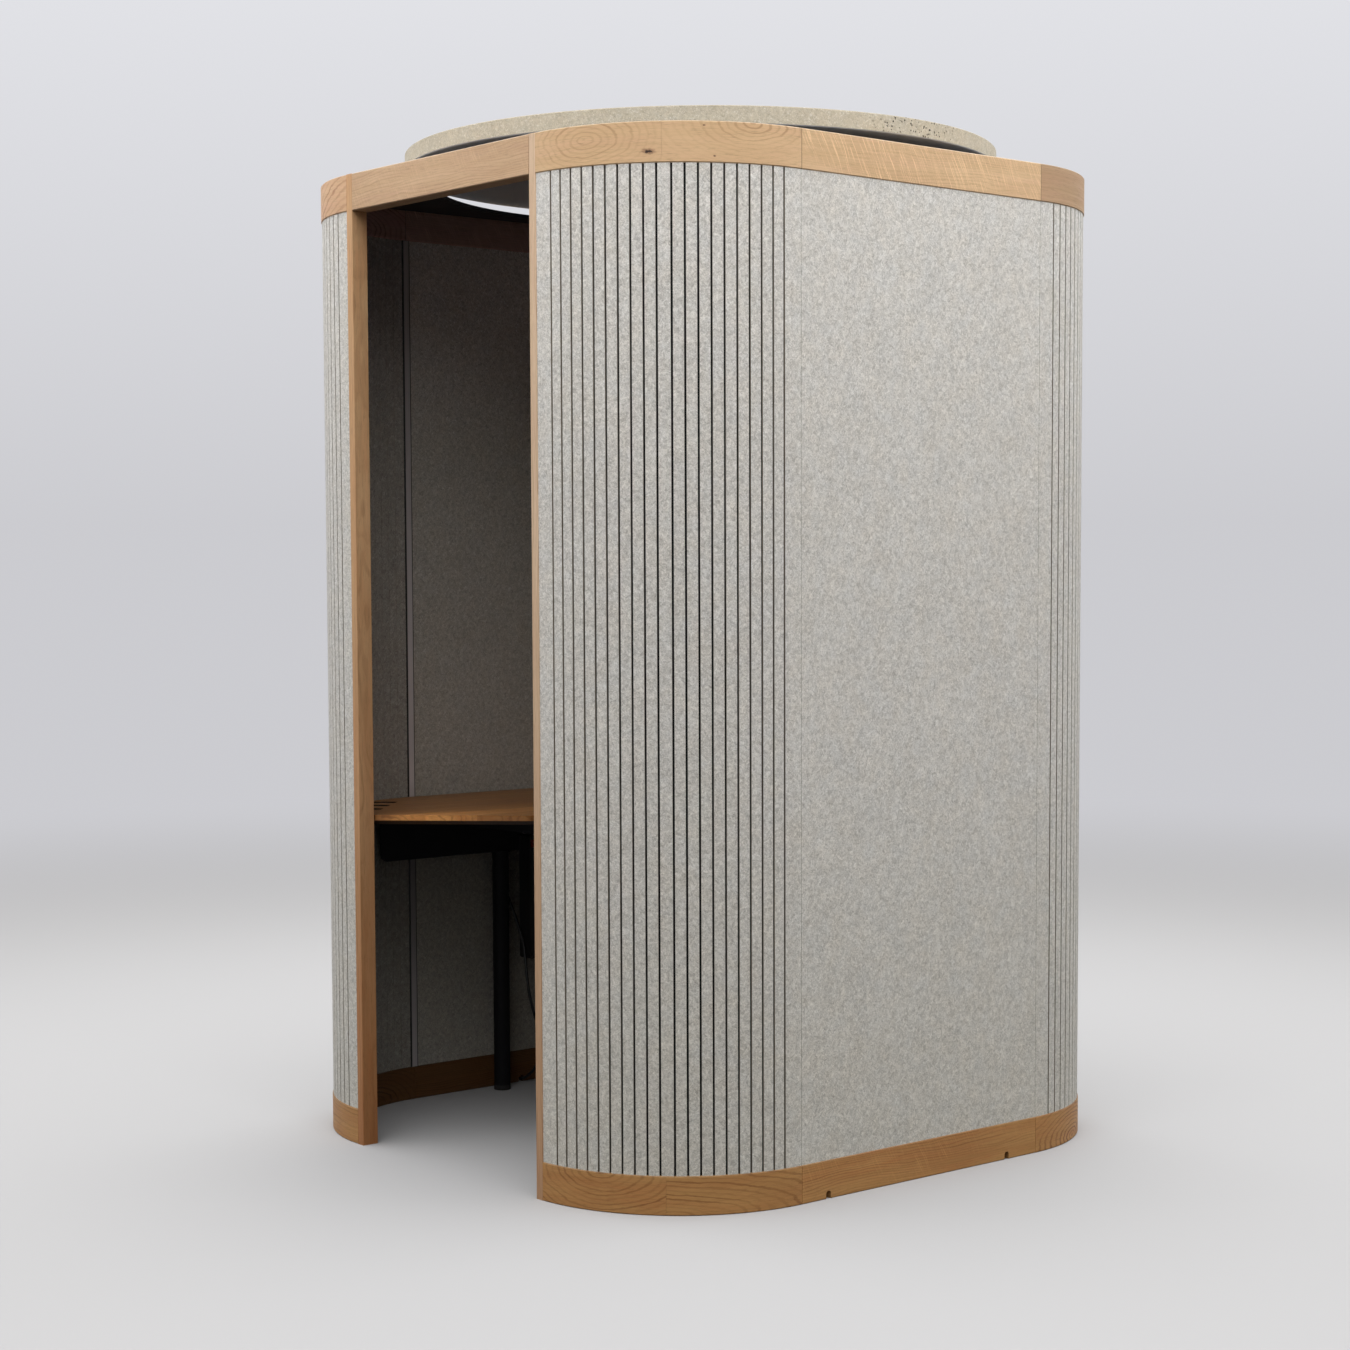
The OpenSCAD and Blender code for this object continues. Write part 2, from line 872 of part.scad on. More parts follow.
module desk_leg(side) {
    color(black)
        translate([leg_x, side * leg_span / 2, 0])
            difference() {
                union() {
                    translate([0, 0, foot_h])
                        cylinder(r = leg_r, h = rail_z - foot_h, $fn = 64);
                    translate([0, 0, rail_z - leg_plate_t])
                        cylinder(r = leg_plate_r, h = leg_plate_t, $fn = 64);
                }
                translate([0, 0, foot_h - over])
                    cylinder(r = leg_r - leg_wall, h = rail_z - foot_h - leg_plate_t + over, $fn = 64);
            }
}

// Rubber feet: a pad with a plug that stands in the tube
module leg_feet() {
    plug_in = 15;
    color(rubber)
        for (side = [-1, 1])
            translate([leg_x, side * leg_span / 2, 0]) {
                cylinder(r = leg_r + foot_wall, h = foot_h, $fn = 64);
                translate([0, 0, foot_h - over])
                    cylinder(r = leg_r - leg_wall, h = plug_in + over, $fn = 64);
            }
}

module desk_screws() {
    head_in = over / 2;
    color(metal) {
        on_arm_screws() {
            translate([0, 0, desk_under - arm_h - screw_head_h])
                cylinder(r = screw_head_r, h = screw_head_h, $fn = 32);
            translate([0, 0, desk_under - arm_h - head_in])
                cylinder(r = screw_r, h = arm_h + desk_bite + head_in, $fn = 32);
        }
        on_unit_screws() {
            translate([0, 0, unit_wall])
                cylinder(r = screw_head_r, h = screw_head_h, $fn = 32);
            translate([0, 0, -steel_t])
                cylinder(r = screw_r, h = steel_t + unit_wall + head_in, $fn = 32);
        }
    }
}

// ---------------------------------------------------------------- power unit

// Outline of the unit's case, with its corners rounded
module unit_outline(inset) {
    r = unit_corner_r - inset;
    w = unit_w / 2 - inset;
    h = unit_h / 2 - inset;
    square([2 * (w - r), 2 * h], center = true);
    square([2 * w, 2 * (h - r)], center = true);
    for (x = [-1, 1], y = [-1, 1])
        translate([x * (w - r), y * (h - r)])
            circle(r, $fn = 48);
}

// Turns a case drawn flat so that its outline stands in the YZ plane
module at_unit(x) {
    translate([x, 0, unit_top - unit_h / 2])
        rotate([90, 0, 90])
            children();
}

module on_bosses() {
    for (x = [-1, 1], y = [-1, 1])
        translate([x * (unit_w / 2 - boss_in), y * (unit_h / 2 - boss_low(x, y)), 0])
            children();
}

// The boss by the switch stands lower, below the switch pocket
function boss_low(x, y) =
    x < 0 && y > 0 ? switch_from_top + rocker_h / 2 + pocket_wall + 2 * boss_r : boss_in;

module power_unit_tray() {
    depth = unit_d - lid_d;
    color(black)
        difference() {
            at_unit(unit_x)
                difference() {
                    union() {
                        difference() {
                            linear_extrude(depth)
                                unit_outline(0);
                            translate([0, 0, unit_wall])
                                linear_extrude(depth)
                                    unit_outline(unit_wall);
                        }
                        on_bosses()
                            cylinder(r = boss_r, h = depth, $fn = 32);
                    }
                    on_bosses()
                        translate([0, 0, unit_wall])
                            cylinder(r = unit_screw_r, h = depth, $fn = 32);
                }
            on_unit_screws()
                translate([0, 0, -over])
                    cylinder(r = screw_r, h = unit_wall + 2 * over, $fn = 32);
        }
}

module power_unit_lid() {
    color(black)
        difference() {
            union() {
                at_unit(unit_x + unit_d - lid_d)
                    difference() {
                        linear_extrude(lid_d)
                            unit_outline(0);
                        translate([0, 0, -over])
                            linear_extrude(lid_d - unit_wall + over)
                                unit_outline(unit_wall);
                    }
                translate([unit_face_x - pocket_d - pocket_wall, 0, 0])
                    switch_block(pocket_w + 2 * pocket_wall, pocket_h + 2 * pocket_wall,
                        pocket_d + pocket_wall);
            }
            at_unit(unit_x + unit_d - lid_d)
                on_bosses()
                    translate([0, 0, -over])
                        cylinder(r = unit_screw_r + bolt_clearance, h = lid_d + 2 * over, $fn = 32);
            translate([unit_face_x - pocket_d, 0, 0])
                switch_block(pocket_w, pocket_h, pocket_d + over);
            translate([pivot_x, switch_y, switch_z])
                rotate([90, 0, 0])
                    cylinder(r = pivot_r + pivot_clearance,
                        h = pocket_w + 2 * (pivot_reach + pocket_gap), center = true, $fn = 32);
        }
}

// Block centred on the switch in Y and Z, going d deep along +X
module switch_block(w, h, d) {
    translate([0, switch_y - w / 2, switch_z - h / 2])
        cube([d, w, h]);
}

module power_unit_screws() {
    reach = 10;
    head_h = 1.6;
    color(metal)
        at_unit(unit_face_x)
            on_bosses() {
                cylinder(r = 2 * unit_screw_r, h = head_h, $fn = 32);
                translate([0, 0, -lid_d - reach])
                    cylinder(r = unit_screw_r, h = lid_d + reach + head_h / 2, $fn = 32);
            }
}

// Half of the rocker's outline, from the middle of its face round to the middle of its back
module rocker_half() {
    end = rocker_h / 2;
    back_end = end - pocket_end_gap;
    polygon([
        [pivot_in - rocker_dip, 0], [pivot_in + rocker_proud, end], [-rocker_side, back_end],
        [-rocker_back, rocker_waist], [-rocker_back, 0]
    ]);
}

// Rocker on its pin, at rest with the top pressed in
module rocker_switch() {
    color([0.55, 0.06, 0.05])
        translate([pivot_x, switch_y, switch_z])
            rotate([0, -rocker_tip, 0])
                rotate([90, 0, 0]) {
                    linear_extrude(rocker_w, center = true) {
                        rocker_half();
                        mirror([0, 1])
                            rocker_half();
                    }
                    cylinder(r = pivot_r, h = pocket_w + 2 * pivot_reach, center = true, $fn = 32);
                }
}

// ---------------------------------------------------------------- supply lead

// Strain relief: a neck through the rail's floor and a tapered sleeve below it
module lead_gland() {
    color(black)
        translate([gland_x, gland_y, rail_z])
            rotate_extrude($fn = 32)
                polygon([
                    [0, -gland_l], [gland_tip_r, -gland_l], [gland_neck_r, -gland_collar_h],
                    [gland_top_r, -gland_collar_h], [gland_top_r, 0], [gland_neck_r, 0],
                    [gland_neck_r, steel_t], [0, steel_t]
                ]);
}

function unit(v) = v / norm(v);

// Direction of the route at point i
function along(route, i) =
    unit(route[min(i + 1, len(route) - 1)] - route[max(i - 1, 0)]);

// A side direction that stays square to the route all the way along it
function sides(route, i = 0, before = [0, 1, 0]) =
    let (t = along(route, i), s = unit(before - (before * t) * t))
    i == len(route) - 1 ? [s] : concat([s], sides(route, i + 1, s));

// One round tube along a route, with n points in each ring
module tube(route, r, n) {
    side = sides(route);
    rings = len(route);
    points = [
        for (i = [0 : rings - 1])
            let (u = side[i], v = cross(along(route, i), u))
            for (k = [0 : n - 1])
                route[i] + r * (cos(k * 360 / n) * u + sin(k * 360 / n) * v)
    ];
    walls = [
        for (i = [0 : rings - 2])
            for (k = [0 : n - 1])
                let (a = i * n + k, b = i * n + (k + 1) % n)
                for (face = [[a, a + n, b], [b, a + n, b + n]])
                    face
    ];
    first_end = [[for (k = [0 : n - 1]) k]];
    last_end = [[for (k = [n - 1 : -1 : 0]) (rings - 1) * n + k]];
    polyhedron(points, concat(first_end, walls, last_end));
}

module supply_lead() {
    color(black)
        translate([-inner_x, 0, 0])
            tube(lead_route, lead_r, 10);
}

module lead_coil() {
    c = lead_r / 2;
    color(black)
        translate([coil_x, coil_y, coil_z])
            rotate_extrude()
                translate([coil_r, 0])
                    polygon([
                        [-coil_half + c, 0], [coil_half - c, 0], [coil_half, c],
                        [coil_half, coil_h - c], [coil_half - c, coil_h],
                        [-coil_half + c, coil_h], [-coil_half, coil_h - c], [-coil_half, c]
                    ]);
}

// Strap round the coil's bundle
module coil_tie() {
    w = 2 * (coil_half + tie_slack);
    h = coil_h + tie_slack;
    color(rubber)
        translate([coil_x, coil_y, 0])
            rotate(tie_angle)
                translate([coil_r, 0, 0])
                    difference() {
                        translate([-w / 2 - tie_t, -tie_w / 2, 0])
                            cube([w + 2 * tie_t, tie_w, h + 2 * tie_t]);
                        translate([-w / 2, -tie_w / 2 - over, tie_t])
                            cube([w, tie_w + 2 * over, h]);
                    }
}

module mains_plug() {
    color(black)
        translate([plug_x, plug_y, 0]) {
            translate([0, 0, plug_h / 2])
                rotate([-90, 0, 0]) {
                    rotate_extrude($fn = 32)
                        polygon([
                            [0, 0], [plug_tip_r, 0], [plug_relief_r, plug_relief_l],
                            [plug_relief_r, plug_relief_l + over], [0, plug_relief_l + over]
                        ]);
                    for (x = [-plug_pin_span / 2, plug_pin_span / 2])
                        translate([x, 0, plug_relief_l + plug_l - over])
                            cylinder(r = plug_pin_r, h = plug_pin_l + over, $fn = 32);
                }
            translate([0, plug_relief_l + plug_l, plug_h / 2])
                rotate([90, 0, 0])
                    linear_extrude(plug_l)
                        chamfered_rectangle(plug_w, plug_h, plug_chamfer);
        }
}

// ---------------------------------------------------------------- nodes

plinth_left();
plinth_right();
plinth_back();
plinth_corner(front_right);  // plinth_corner_front_right
plinth_corner(back_right);  // plinth_corner_back_right
plinth_corner(back_left);  // plinth_corner_back_left
plinth_corner(front_left);  // plinth_corner_front_left
ring_left();
ring_right();
ring_back();
ring_corner(front_right);  // ring_corner_front_right
ring_corner(back_right);  // ring_corner_back_right
ring_corner(back_left);  // ring_corner_back_left
ring_corner(front_left);  // ring_corner_front_left
door_lintel();
jamb(-1);  // jamb_left
jamb(1);  // jamb_right
core_left();
core_right();
core_back();
for (q = [front_right, front_left]) core_corner(q);  // core_corners_front
for (q = [back_right, back_left]) core_corner(q);  // core_corners_back
felt_outer_left();
felt_outer_right();
felt_outer_back();
felt_outer_corner(front_right);  // felt_outer_corner_front_right
felt_outer_corner(back_right);  // felt_outer_corner_back_right
felt_outer_corner(back_left);  // felt_outer_corner_back_left
felt_outer_corner(front_left);  // felt_outer_corner_front_left
felt_inner_left();
felt_inner_right();
felt_inner_back();
felt_inner_corner(front_right);  // felt_inner_corner_front_right
felt_inner_corner(back_right);  // felt_inner_corner_back_right
felt_inner_corner(back_left);  // felt_inner_corner_back_left
felt_inner_corner(front_left);  // felt_inner_corner_front_left
joint_strips();
ceiling_board();
roof_disc_felt();
roof_disc_board();
roof_spacers();
roof_bolts();
desk_top();
desk_rail();
desk_arm(-1);  // desk_arm_front
desk_arm(1);  // desk_arm_back
desk_leg(-1);  // desk_leg_front
desk_leg(1);  // desk_leg_back
leg_feet();
desk_screws();
power_unit_tray();
power_unit_lid();
power_unit_screws();
rocker_switch();
lead_gland();
supply_lead();
lead_coil();
coil_tie();
mains_plug();
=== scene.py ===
# Study carrel: felt booth with oak plinth and ring, roof disc and a fitted desk.
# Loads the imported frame, adds the supply lead and the finishes, then the studio.
import math

import bmesh
import bpy
from mathutils import Matrix, Vector


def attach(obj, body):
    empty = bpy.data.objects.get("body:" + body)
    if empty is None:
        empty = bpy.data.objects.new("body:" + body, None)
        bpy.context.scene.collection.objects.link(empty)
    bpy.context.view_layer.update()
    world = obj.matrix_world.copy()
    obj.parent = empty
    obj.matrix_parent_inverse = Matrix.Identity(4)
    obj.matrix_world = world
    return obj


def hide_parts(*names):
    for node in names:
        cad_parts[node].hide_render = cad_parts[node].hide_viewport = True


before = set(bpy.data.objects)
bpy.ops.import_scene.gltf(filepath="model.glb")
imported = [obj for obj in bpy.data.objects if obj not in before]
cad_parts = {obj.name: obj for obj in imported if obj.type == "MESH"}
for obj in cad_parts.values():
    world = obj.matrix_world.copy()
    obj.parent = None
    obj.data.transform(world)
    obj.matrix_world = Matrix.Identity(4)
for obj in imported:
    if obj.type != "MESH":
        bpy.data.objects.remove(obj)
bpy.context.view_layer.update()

booth = {
    "cornerX": 0.344,           # centres of the rounded corners
    "cornerY": 0.360,
    "timberRadius": 0.386,
    "outerFeltRadius": 0.384,
    "innerFeltRadius": 0.342,
    "innerTimberRadius": 0.340,
    "innerTimberX": 0.684,
    "innerTimberY": 0.700,
}


# camera

cameraView = {
    "place": (4.5276, -3.9106, 1.3074),
    "tiltDown": 3.940,          # degrees
    "heading": 49.986,
    "roll": -0.237,
    "focalPixels": 2540.7,      # for a frame 1350 pixels wide
    "frameWidth": 1350,
    "shift": (0.0064, 0.0543),
}


def setUpCamera(view):
    data = bpy.data.cameras.new("boothCamera")
    data.sensor_width = 36
    data.lens = view["focalPixels"] / view["frameWidth"] * data.sensor_width
    data.shift_x, data.shift_y = view["shift"]
    data.clip_end = 100
    camera = bpy.data.objects.new("boothCamera", data)
    bpy.context.collection.objects.link(camera)
    aim = Matrix.Rotation(math.radians(view["heading"]), 4, "Z")
    aim = aim @ Matrix.Rotation(math.radians(90 - view["tiltDown"]), 4, "X")
    aim = aim @ Matrix.Rotation(math.radians(view["roll"]), 4, "Z")
    camera.matrix_world = Matrix.Translation(view["place"]) @ aim
    bpy.context.scene.camera = camera


setUpCamera(cameraView)
print("camera set")


# supply lead

lead = {
    "diameter": 0.007,
    "length": 2.0,
    # from the strain relief down beside the left leg, through the plinth's notch
    # x is measured from the timber's inner line, which is at -innerTimberX
    "route": [
        (0.020, -0.099, 0.575), (0.020, -0.099, 0.556), (0.021, -0.098, 0.536),
        (0.024, -0.096, 0.516), (0.029, -0.092, 0.497), (0.036, -0.089, 0.479),
        (0.045, -0.088, 0.462), (0.055, -0.087, 0.445), (0.065, -0.087, 0.427),
        (0.075, -0.087, 0.409), (0.084, -0.087, 0.390), (0.091, -0.086, 0.371),
        (0.095, -0.086, 0.351), (0.097, -0.085, 0.331), (0.098, -0.084, 0.311),
        (0.098, -0.082, 0.291), (0.098, -0.079, 0.271), (0.097, -0.075, 0.251),
        (0.096, -0.070, 0.232), (0.095, -0.064, 0.213), (0.093, -0.057, 0.194),
        (0.090, -0.049, 0.176), (0.087, -0.041, 0.158), (0.082, -0.033, 0.141),
        (0.076, -0.026, 0.124), (0.070, -0.020, 0.107), (0.063, -0.016, 0.090),
        (0.056, -0.013, 0.072), (0.048, -0.013, 0.054), (0.038, -0.016, 0.037),
        (0.025, -0.021, 0.022), (0.009, -0.027, 0.011), (-0.010, -0.030, 0.006),
        (-0.030, -0.030, 0.005), (-0.050, -0.030, 0.005), (-0.066, -0.030, 0.005),
        (-0.080, -0.030, 0.005),
    ],
    "coilCentre": (-0.78806, 0.015),
    "coilRadii": [0.045, 0.038, 0.031],   # lanes of the lower layer, outside first
    "layerHeights": [0.0047, 0.0117],
    "pointsPerTurn": 24,
    "crossover": 0.12,                    # share of a turn that a change of lane takes
    "lastTurn": 5.25,
    "plugEnd": (-0.83306, 0.039, 0.011),
}


def smoothStep(value):
    value = max(0.0, min(1.0, value))
    return value * value * (3 - 2 * value)


def coilPoints(spec):
    outer, middle, inner = spec["coilRadii"]
    lanes = [outer, middle, inner, inner, middle, outer]
    low, high = spec["layerHeights"]
    share = spec["crossover"]
    centreX, centreY = spec["coilCentre"]
    points = []
    for step in range(1, round(spec["lastTurn"] * spec["pointsPerTurn"]) + 1):
        turns = step / spec["pointsPerTurn"]
        radius = lanes[0]
        for lane in range(1, len(lanes)):
            change = smoothStep((turns - lane + share) / share)
            radius += (lanes[lane] - lanes[lane - 1]) * change
        # the lead climbs to the upper layer just before the third change of lane
        rise = smoothStep((turns - 3 + 2.2 * share) / (1.1 * share))
        angle = -math.pi / 2 - 2 * math.pi * turns
        points.append((
            centreX + radius * math.cos(angle),
            centreY + radius * math.sin(angle),
            low + (high - low) * rise,
        ))
    return points


def meshOfCurve(curve, depth):
    # what Blender draws for the curve at this bevel depth, as a mesh
    curve.bevel_depth = depth
    drawn = bpy.data.objects.new("drawn", curve)
    bpy.context.collection.objects.link(drawn)
    bpy.context.view_layer.update()
    graph = bpy.context.evaluated_depsgraph_get()
    mesh = bpy.data.meshes.new_from_object(drawn.evaluated_get(graph))
    bpy.data.objects.remove(drawn)
    return mesh


def makeLead(spec):
    points = [(x - booth["innerTimberX"], y, z) for x, y, z in spec["route"]]
    points += coilPoints(spec)
    points.append(spec["plugEnd"])
    curve = bpy.data.curves.new("supplyLead", "CURVE")
    curve.dimensions = "3D"
    curve.bevel_resolution = 4
    curve.resolution_u = 4
    curve.use_fill_caps = True
    spline = curve.splines.new("BEZIER")
    spline.bezier_points.add(len(points) - 1)
    for knot, place in zip(spline.bezier_points, points):
        knot.co = place
        knot.handle_left_type = knot.handle_right_type = "AUTO"
    centreline = [tuple(vertex.co) for vertex in meshOfCurve(curve, 0).vertices]
    mesh = meshOfCurve(curve, spec["diameter"] / 2)
    mesh.name = "supplyLead"
    mesh.shade_smooth()
    piece = bpy.data.objects.new("supplyLead", mesh)
    bpy.context.collection.objects.link(piece)
    return piece, centreline


supplyLead, leadCentreline = makeLead(lead)
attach(supplyLead, "booth")
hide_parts("supply_lead", "lead_coil")


def newPiece(name, shape):
    mesh = bpy.data.meshes.new(name)
    shape.to_mesh(mesh)
    shape.free()
    piece = bpy.data.objects.new(name, mesh)
    bpy.context.collection.objects.link(piece)
    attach(piece, "booth")
    return piece


def roundedLoop(shape, length, height, radius):
    # a flat ring of edges with rounded corners, in the XZ plane
    sheet = bmesh.ops.create_grid(shape, x_segments=1, y_segments=1, size=0.5)
    bmesh.ops.scale(shape, vec=(length, height, 1), verts=sheet["verts"])
    bmesh.ops.rotate(
        shape, verts=shape.verts, cent=(0, 0, 0), matrix=Matrix.Rotation(math.pi / 2, 3, "X")
    )
    bmesh.ops.bevel(
        shape, geom=shape.verts[:], affect="VERTICES", offset=radius,
        offset_type="OFFSET", segments=5, profile=0.5, material=-1,
    )
    bmesh.ops.delete(shape, geom=shape.faces[:], context="FACES_ONLY")


tie = {
    "angle": 45,                # degrees round the coil
    "width": 0.008,
    "wall": 0.0012,
    "slack": 0.0003,
    "bend": 0.0034,             # radius at the corners of the loop
}


def makeTie(spec, coil):
    across = coil["coilRadii"][0] - coil["coilRadii"][-1] + coil["diameter"]
    tall = coil["layerHeights"][1] - coil["layerHeights"][0] + coil["diameter"]
    shape = bmesh.new()
    roundedLoop(shape, across + 2 * spec["slack"], tall + 2 * spec["slack"], spec["bend"])
    band = bmesh.ops.extrude_edge_only(shape, edges=shape.edges[:])
    moved = [item for item in band["geom"] if isinstance(item, bmesh.types.BMVert)]
    bmesh.ops.translate(shape, verts=moved, vec=(0, spec["width"], 0))
    bmesh.ops.translate(shape, verts=shape.verts[:], vec=(0, -spec["width"] / 2, 0))
    bmesh.ops.recalc_face_normals(shape, faces=shape.faces[:])
    bmesh.ops.solidify(shape, geom=shape.faces[:], thickness=-spec["wall"])
    bmesh.ops.recalc_face_normals(shape, faces=shape.faces[:])
    middle = (coil["coilRadii"][0] + coil["coilRadii"][-1]) / 2
    height = sum(coil["layerHeights"]) / 2
    turn = Matrix.Rotation(math.radians(spec["angle"]), 3, "Z")
    bmesh.ops.translate(shape, verts=shape.verts[:], vec=(middle, 0, height))
    bmesh.ops.rotate(shape, verts=shape.verts[:], cent=(0, 0, 0), matrix=turn)
    bmesh.ops.translate(shape, verts=shape.verts[:], vec=(*coil["coilCentre"], 0))
    return newPiece("coilTie", shape)


coilTie = makeTie(tie, lead)
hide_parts("coil_tie")
print("supply lead, coil and tie made")


# material helpers

def newMaterial(name):
    material = bpy.data.materials.new(name)
    material.use_nodes = True
    tree = material.node_tree
    tree.nodes.clear()
    shader = tree.nodes.new("ShaderNodeBsdfPrincipled")
    output = tree.nodes.new("ShaderNodeOutputMaterial")
    tree.links.new(shader.outputs[0], output.inputs["Surface"])
    return material, tree, shader


def feed(tree, socket, value):
    if isinstance(value, bpy.types.NodeSocket):
        tree.links.new(value, socket)
    else:
        socket.default_value = value


def objectPlace(tree):
    return tree.nodes.new("ShaderNodeTexCoord").outputs["Object"]


def surfaceNormal(tree):
    return tree.nodes.new("ShaderNodeTexCoord").outputs["Normal"]


def calc(tree, operation, first, second=None, third=None):
    node = tree.nodes.new("ShaderNodeMath")
    node.operation = operation
    for index, value in enumerate((first, second, third)):
        if value is not None:
            feed(tree, node.inputs[index], value)
    return node.outputs[0]


def stretch(tree, vector, scale, turn=(0, 0, 0), move=(0, 0, 0)):
    node = tree.nodes.new("ShaderNodeMapping")
    feed(tree, node.inputs["Vector"], vector)
    node.inputs["Scale"].default_value = scale
    node.inputs["Rotation"].default_value = [math.radians(angle) for angle in turn]
    node.inputs["Location"].default_value = move
    return node.outputs[0]


def turned(tree, vector, angles):
    return stretch(tree, vector, (1, 1, 1), angles)


def noise(tree, vector, scale, detail=3.0, rough=0.5, twist=0.0):
    node = tree.nodes.new("ShaderNodeTexNoise")
    feed(tree, node.inputs["Vector"], vector)
    node.inputs["Scale"].default_value = scale
    node.inputs["Detail"].default_value = detail
    node.inputs["Roughness"].default_value = rough
    node.inputs["Distortion"].default_value = twist
    return node.outputs["Fac"]


def cells(tree, vector, scale, feature="F1"):
    node = tree.nodes.new("ShaderNodeTexVoronoi")
    node.feature = feature
    feed(tree, node.inputs["Vector"], vector)
    node.inputs["Scale"].default_value = scale
    return node.outputs["Distance"]


def span(tree, value, low, high, toLow=0.0, toHigh=1.0, smooth=False):
    node = tree.nodes.new("ShaderNodeMapRange")
    node.interpolation_type = "SMOOTHSTEP" if smooth else "LINEAR"
    feed(tree, node.inputs["Value"], value)
    node.inputs["From Min"].default_value = low
    node.inputs["From Max"].default_value = high
    node.inputs["To Min"].default_value = toLow
    node.inputs["To Max"].default_value = toHigh
    return node.outputs[0]


def blendColor(tree, share, first, second, mode="MIX"):
    node = tree.nodes.new("ShaderNodeMix")
    node.data_type = "RGBA"
    node.blend_type = mode
    feed(tree, node.inputs["Factor"], share)
    for socket, value in ((node.inputs[6], first), (node.inputs[7], second)):
        feed(tree, socket, value if isinstance(value, bpy.types.NodeSocket) else (*value, 1))
    return node.outputs[2]


def addBump(tree, shader, height, strength, distance):
    node = tree.nodes.new("ShaderNodeBump")
    node.inputs["Strength"].default_value = strength
    node.inputs["Distance"].default_value = distance
    tree.links.new(height, node.inputs["Height"])
    tree.links.new(node.outputs[0], shader.inputs["Normal"])


def tintByHeight(tree, color, tint, start, end):
    # the tint grows from nothing at the first height to its full strength at the second
    height = splitVector(tree, objectPlace(tree))[2]
    return blendColor(tree, span(tree, height, start, end), color, tint, "MULTIPLY")


def splitVector(tree, vector):
    node = tree.nodes.new("ShaderNodeSeparateXYZ")
    tree.links.new(vector, node.inputs[0])
    return node.outputs


def joinVector(tree, x, y, z):
    node = tree.nodes.new("ShaderNodeCombineXYZ")
    for socket, value in zip(node.inputs, (x, y, z)):
        feed(tree, socket, value)
    return node.outputs[0]


def paint(material, *nodeNames):
    for name in nodeNames:
        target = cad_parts[name]
        if target.material_slots:
            for slot in target.material_slots:
                slot.material = material
        else:
            target.data.materials.append(material)


# felt

wallFelt = {
    "light": (0.838, 0.812, 0.766),
    "dark": (0.424, 0.404, 0.372),
    "cool": (0.988, 0.999, 1.018),
    "warm": (1.015, 0.997, 0.976),
    "hair": (0.21, 0.20, 0.185),
    "pale": (0.93, 0.92, 0.89),
    "grooveWallShade": (0.280, 0.240, 0.180),  # painted shade on the walls of the grooves, and the depths over which it darkens them
    "wallSpan": (0.0002, 0.0014),
    "grooveFloorShade": (0.009, 0.0085, 0.008),
    "floorSpan": (0.0040, 0.0056),
    "mottleScale": 105.0,
    "fibreScale": 330.0,
    "driftShare": 0.09,         # of the slow change from place to place
    "low": (0.925, 0.922, 0.890),       # tint near the floor, and the heights it grows between
    "lowSpan": (1.0, 0.1),
    "roughness": 0.95,
    "gloss": 0.15,
    "sheen": 0.20,
    "sheenRoughness": 0.6,
    "bump": (0.45, 0.0014),     # strength, and height in metres
}

# inside, the felt is painted darker than the outside felt as shade, painted lighter under the ceiling as
# light, and painted darker below the desk as shade
shadedInnerFelt = dict(
    wallFelt,
    light=(0.600, 0.562, 0.502),
    dark=(0.304, 0.284, 0.250),
    low=(0.80, 0.80, 0.79),
    lowSpan=(0.86, 0.62),
    high=(1.38, 1.34, 1.46),
    highSpan=(1.62, 2.00),
)
# the curved inside corners are painted darker still, as shade
shadedInnerCurvedFelt = dict(
    shadedInnerFelt,
    light=(0.480, 0.446, 0.402),
    dark=(0.238, 0.220, 0.196),
    high=(1.0, 0.98, 1.08),
)

roofFelt = dict(
    wallFelt,
    light=(0.605, 0.545, 0.432),
    dark=(0.420, 0.374, 0.288),
    driftShare=0.30,
    sheen=0.03,
    undersideLightAndShade=(0.780, 0.790, 0.830),
    topFaceShade=(0.66, 0.65, 0.62),
)

# where the roof disc's rim has gathered small dark specks
speckled = {
    "place": (0.6815, 0.021, 2.2500),
    "reach": (0.070, 0.160),    # they thin out between these distances from the place
    "scale": 150.0,
    "strayScale": 22.0,         # for the few that lie anywhere
    "color": (0.045, 0.038, 0.030),
}


def cornerDistance(tree, place):
    # distance from the axis of the nearest rounded corner, on all four corners alike
    x, y = splitVector(tree, place)[:2]
    acrossX = calc(tree, "SUBTRACT", calc(tree, "ABSOLUTE", x), booth["cornerX"])
    acrossY = calc(tree, "SUBTRACT", calc(tree, "ABSOLUTE", y), booth["cornerY"])
    squares = calc(tree, "MULTIPLY", acrossX, acrossX)
    squares = calc(tree, "MULTIPLY_ADD", acrossY, acrossY, squares)
    return calc(tree, "SQRT", squares)


def distanceFrom(tree, vector, place):
    node = tree.nodes.new("ShaderNodeVectorMath")
    node.operation = "DISTANCE"
    feed(tree, node.inputs[0], vector)
    node.inputs[1].default_value = place
    return node.outputs["Value"]


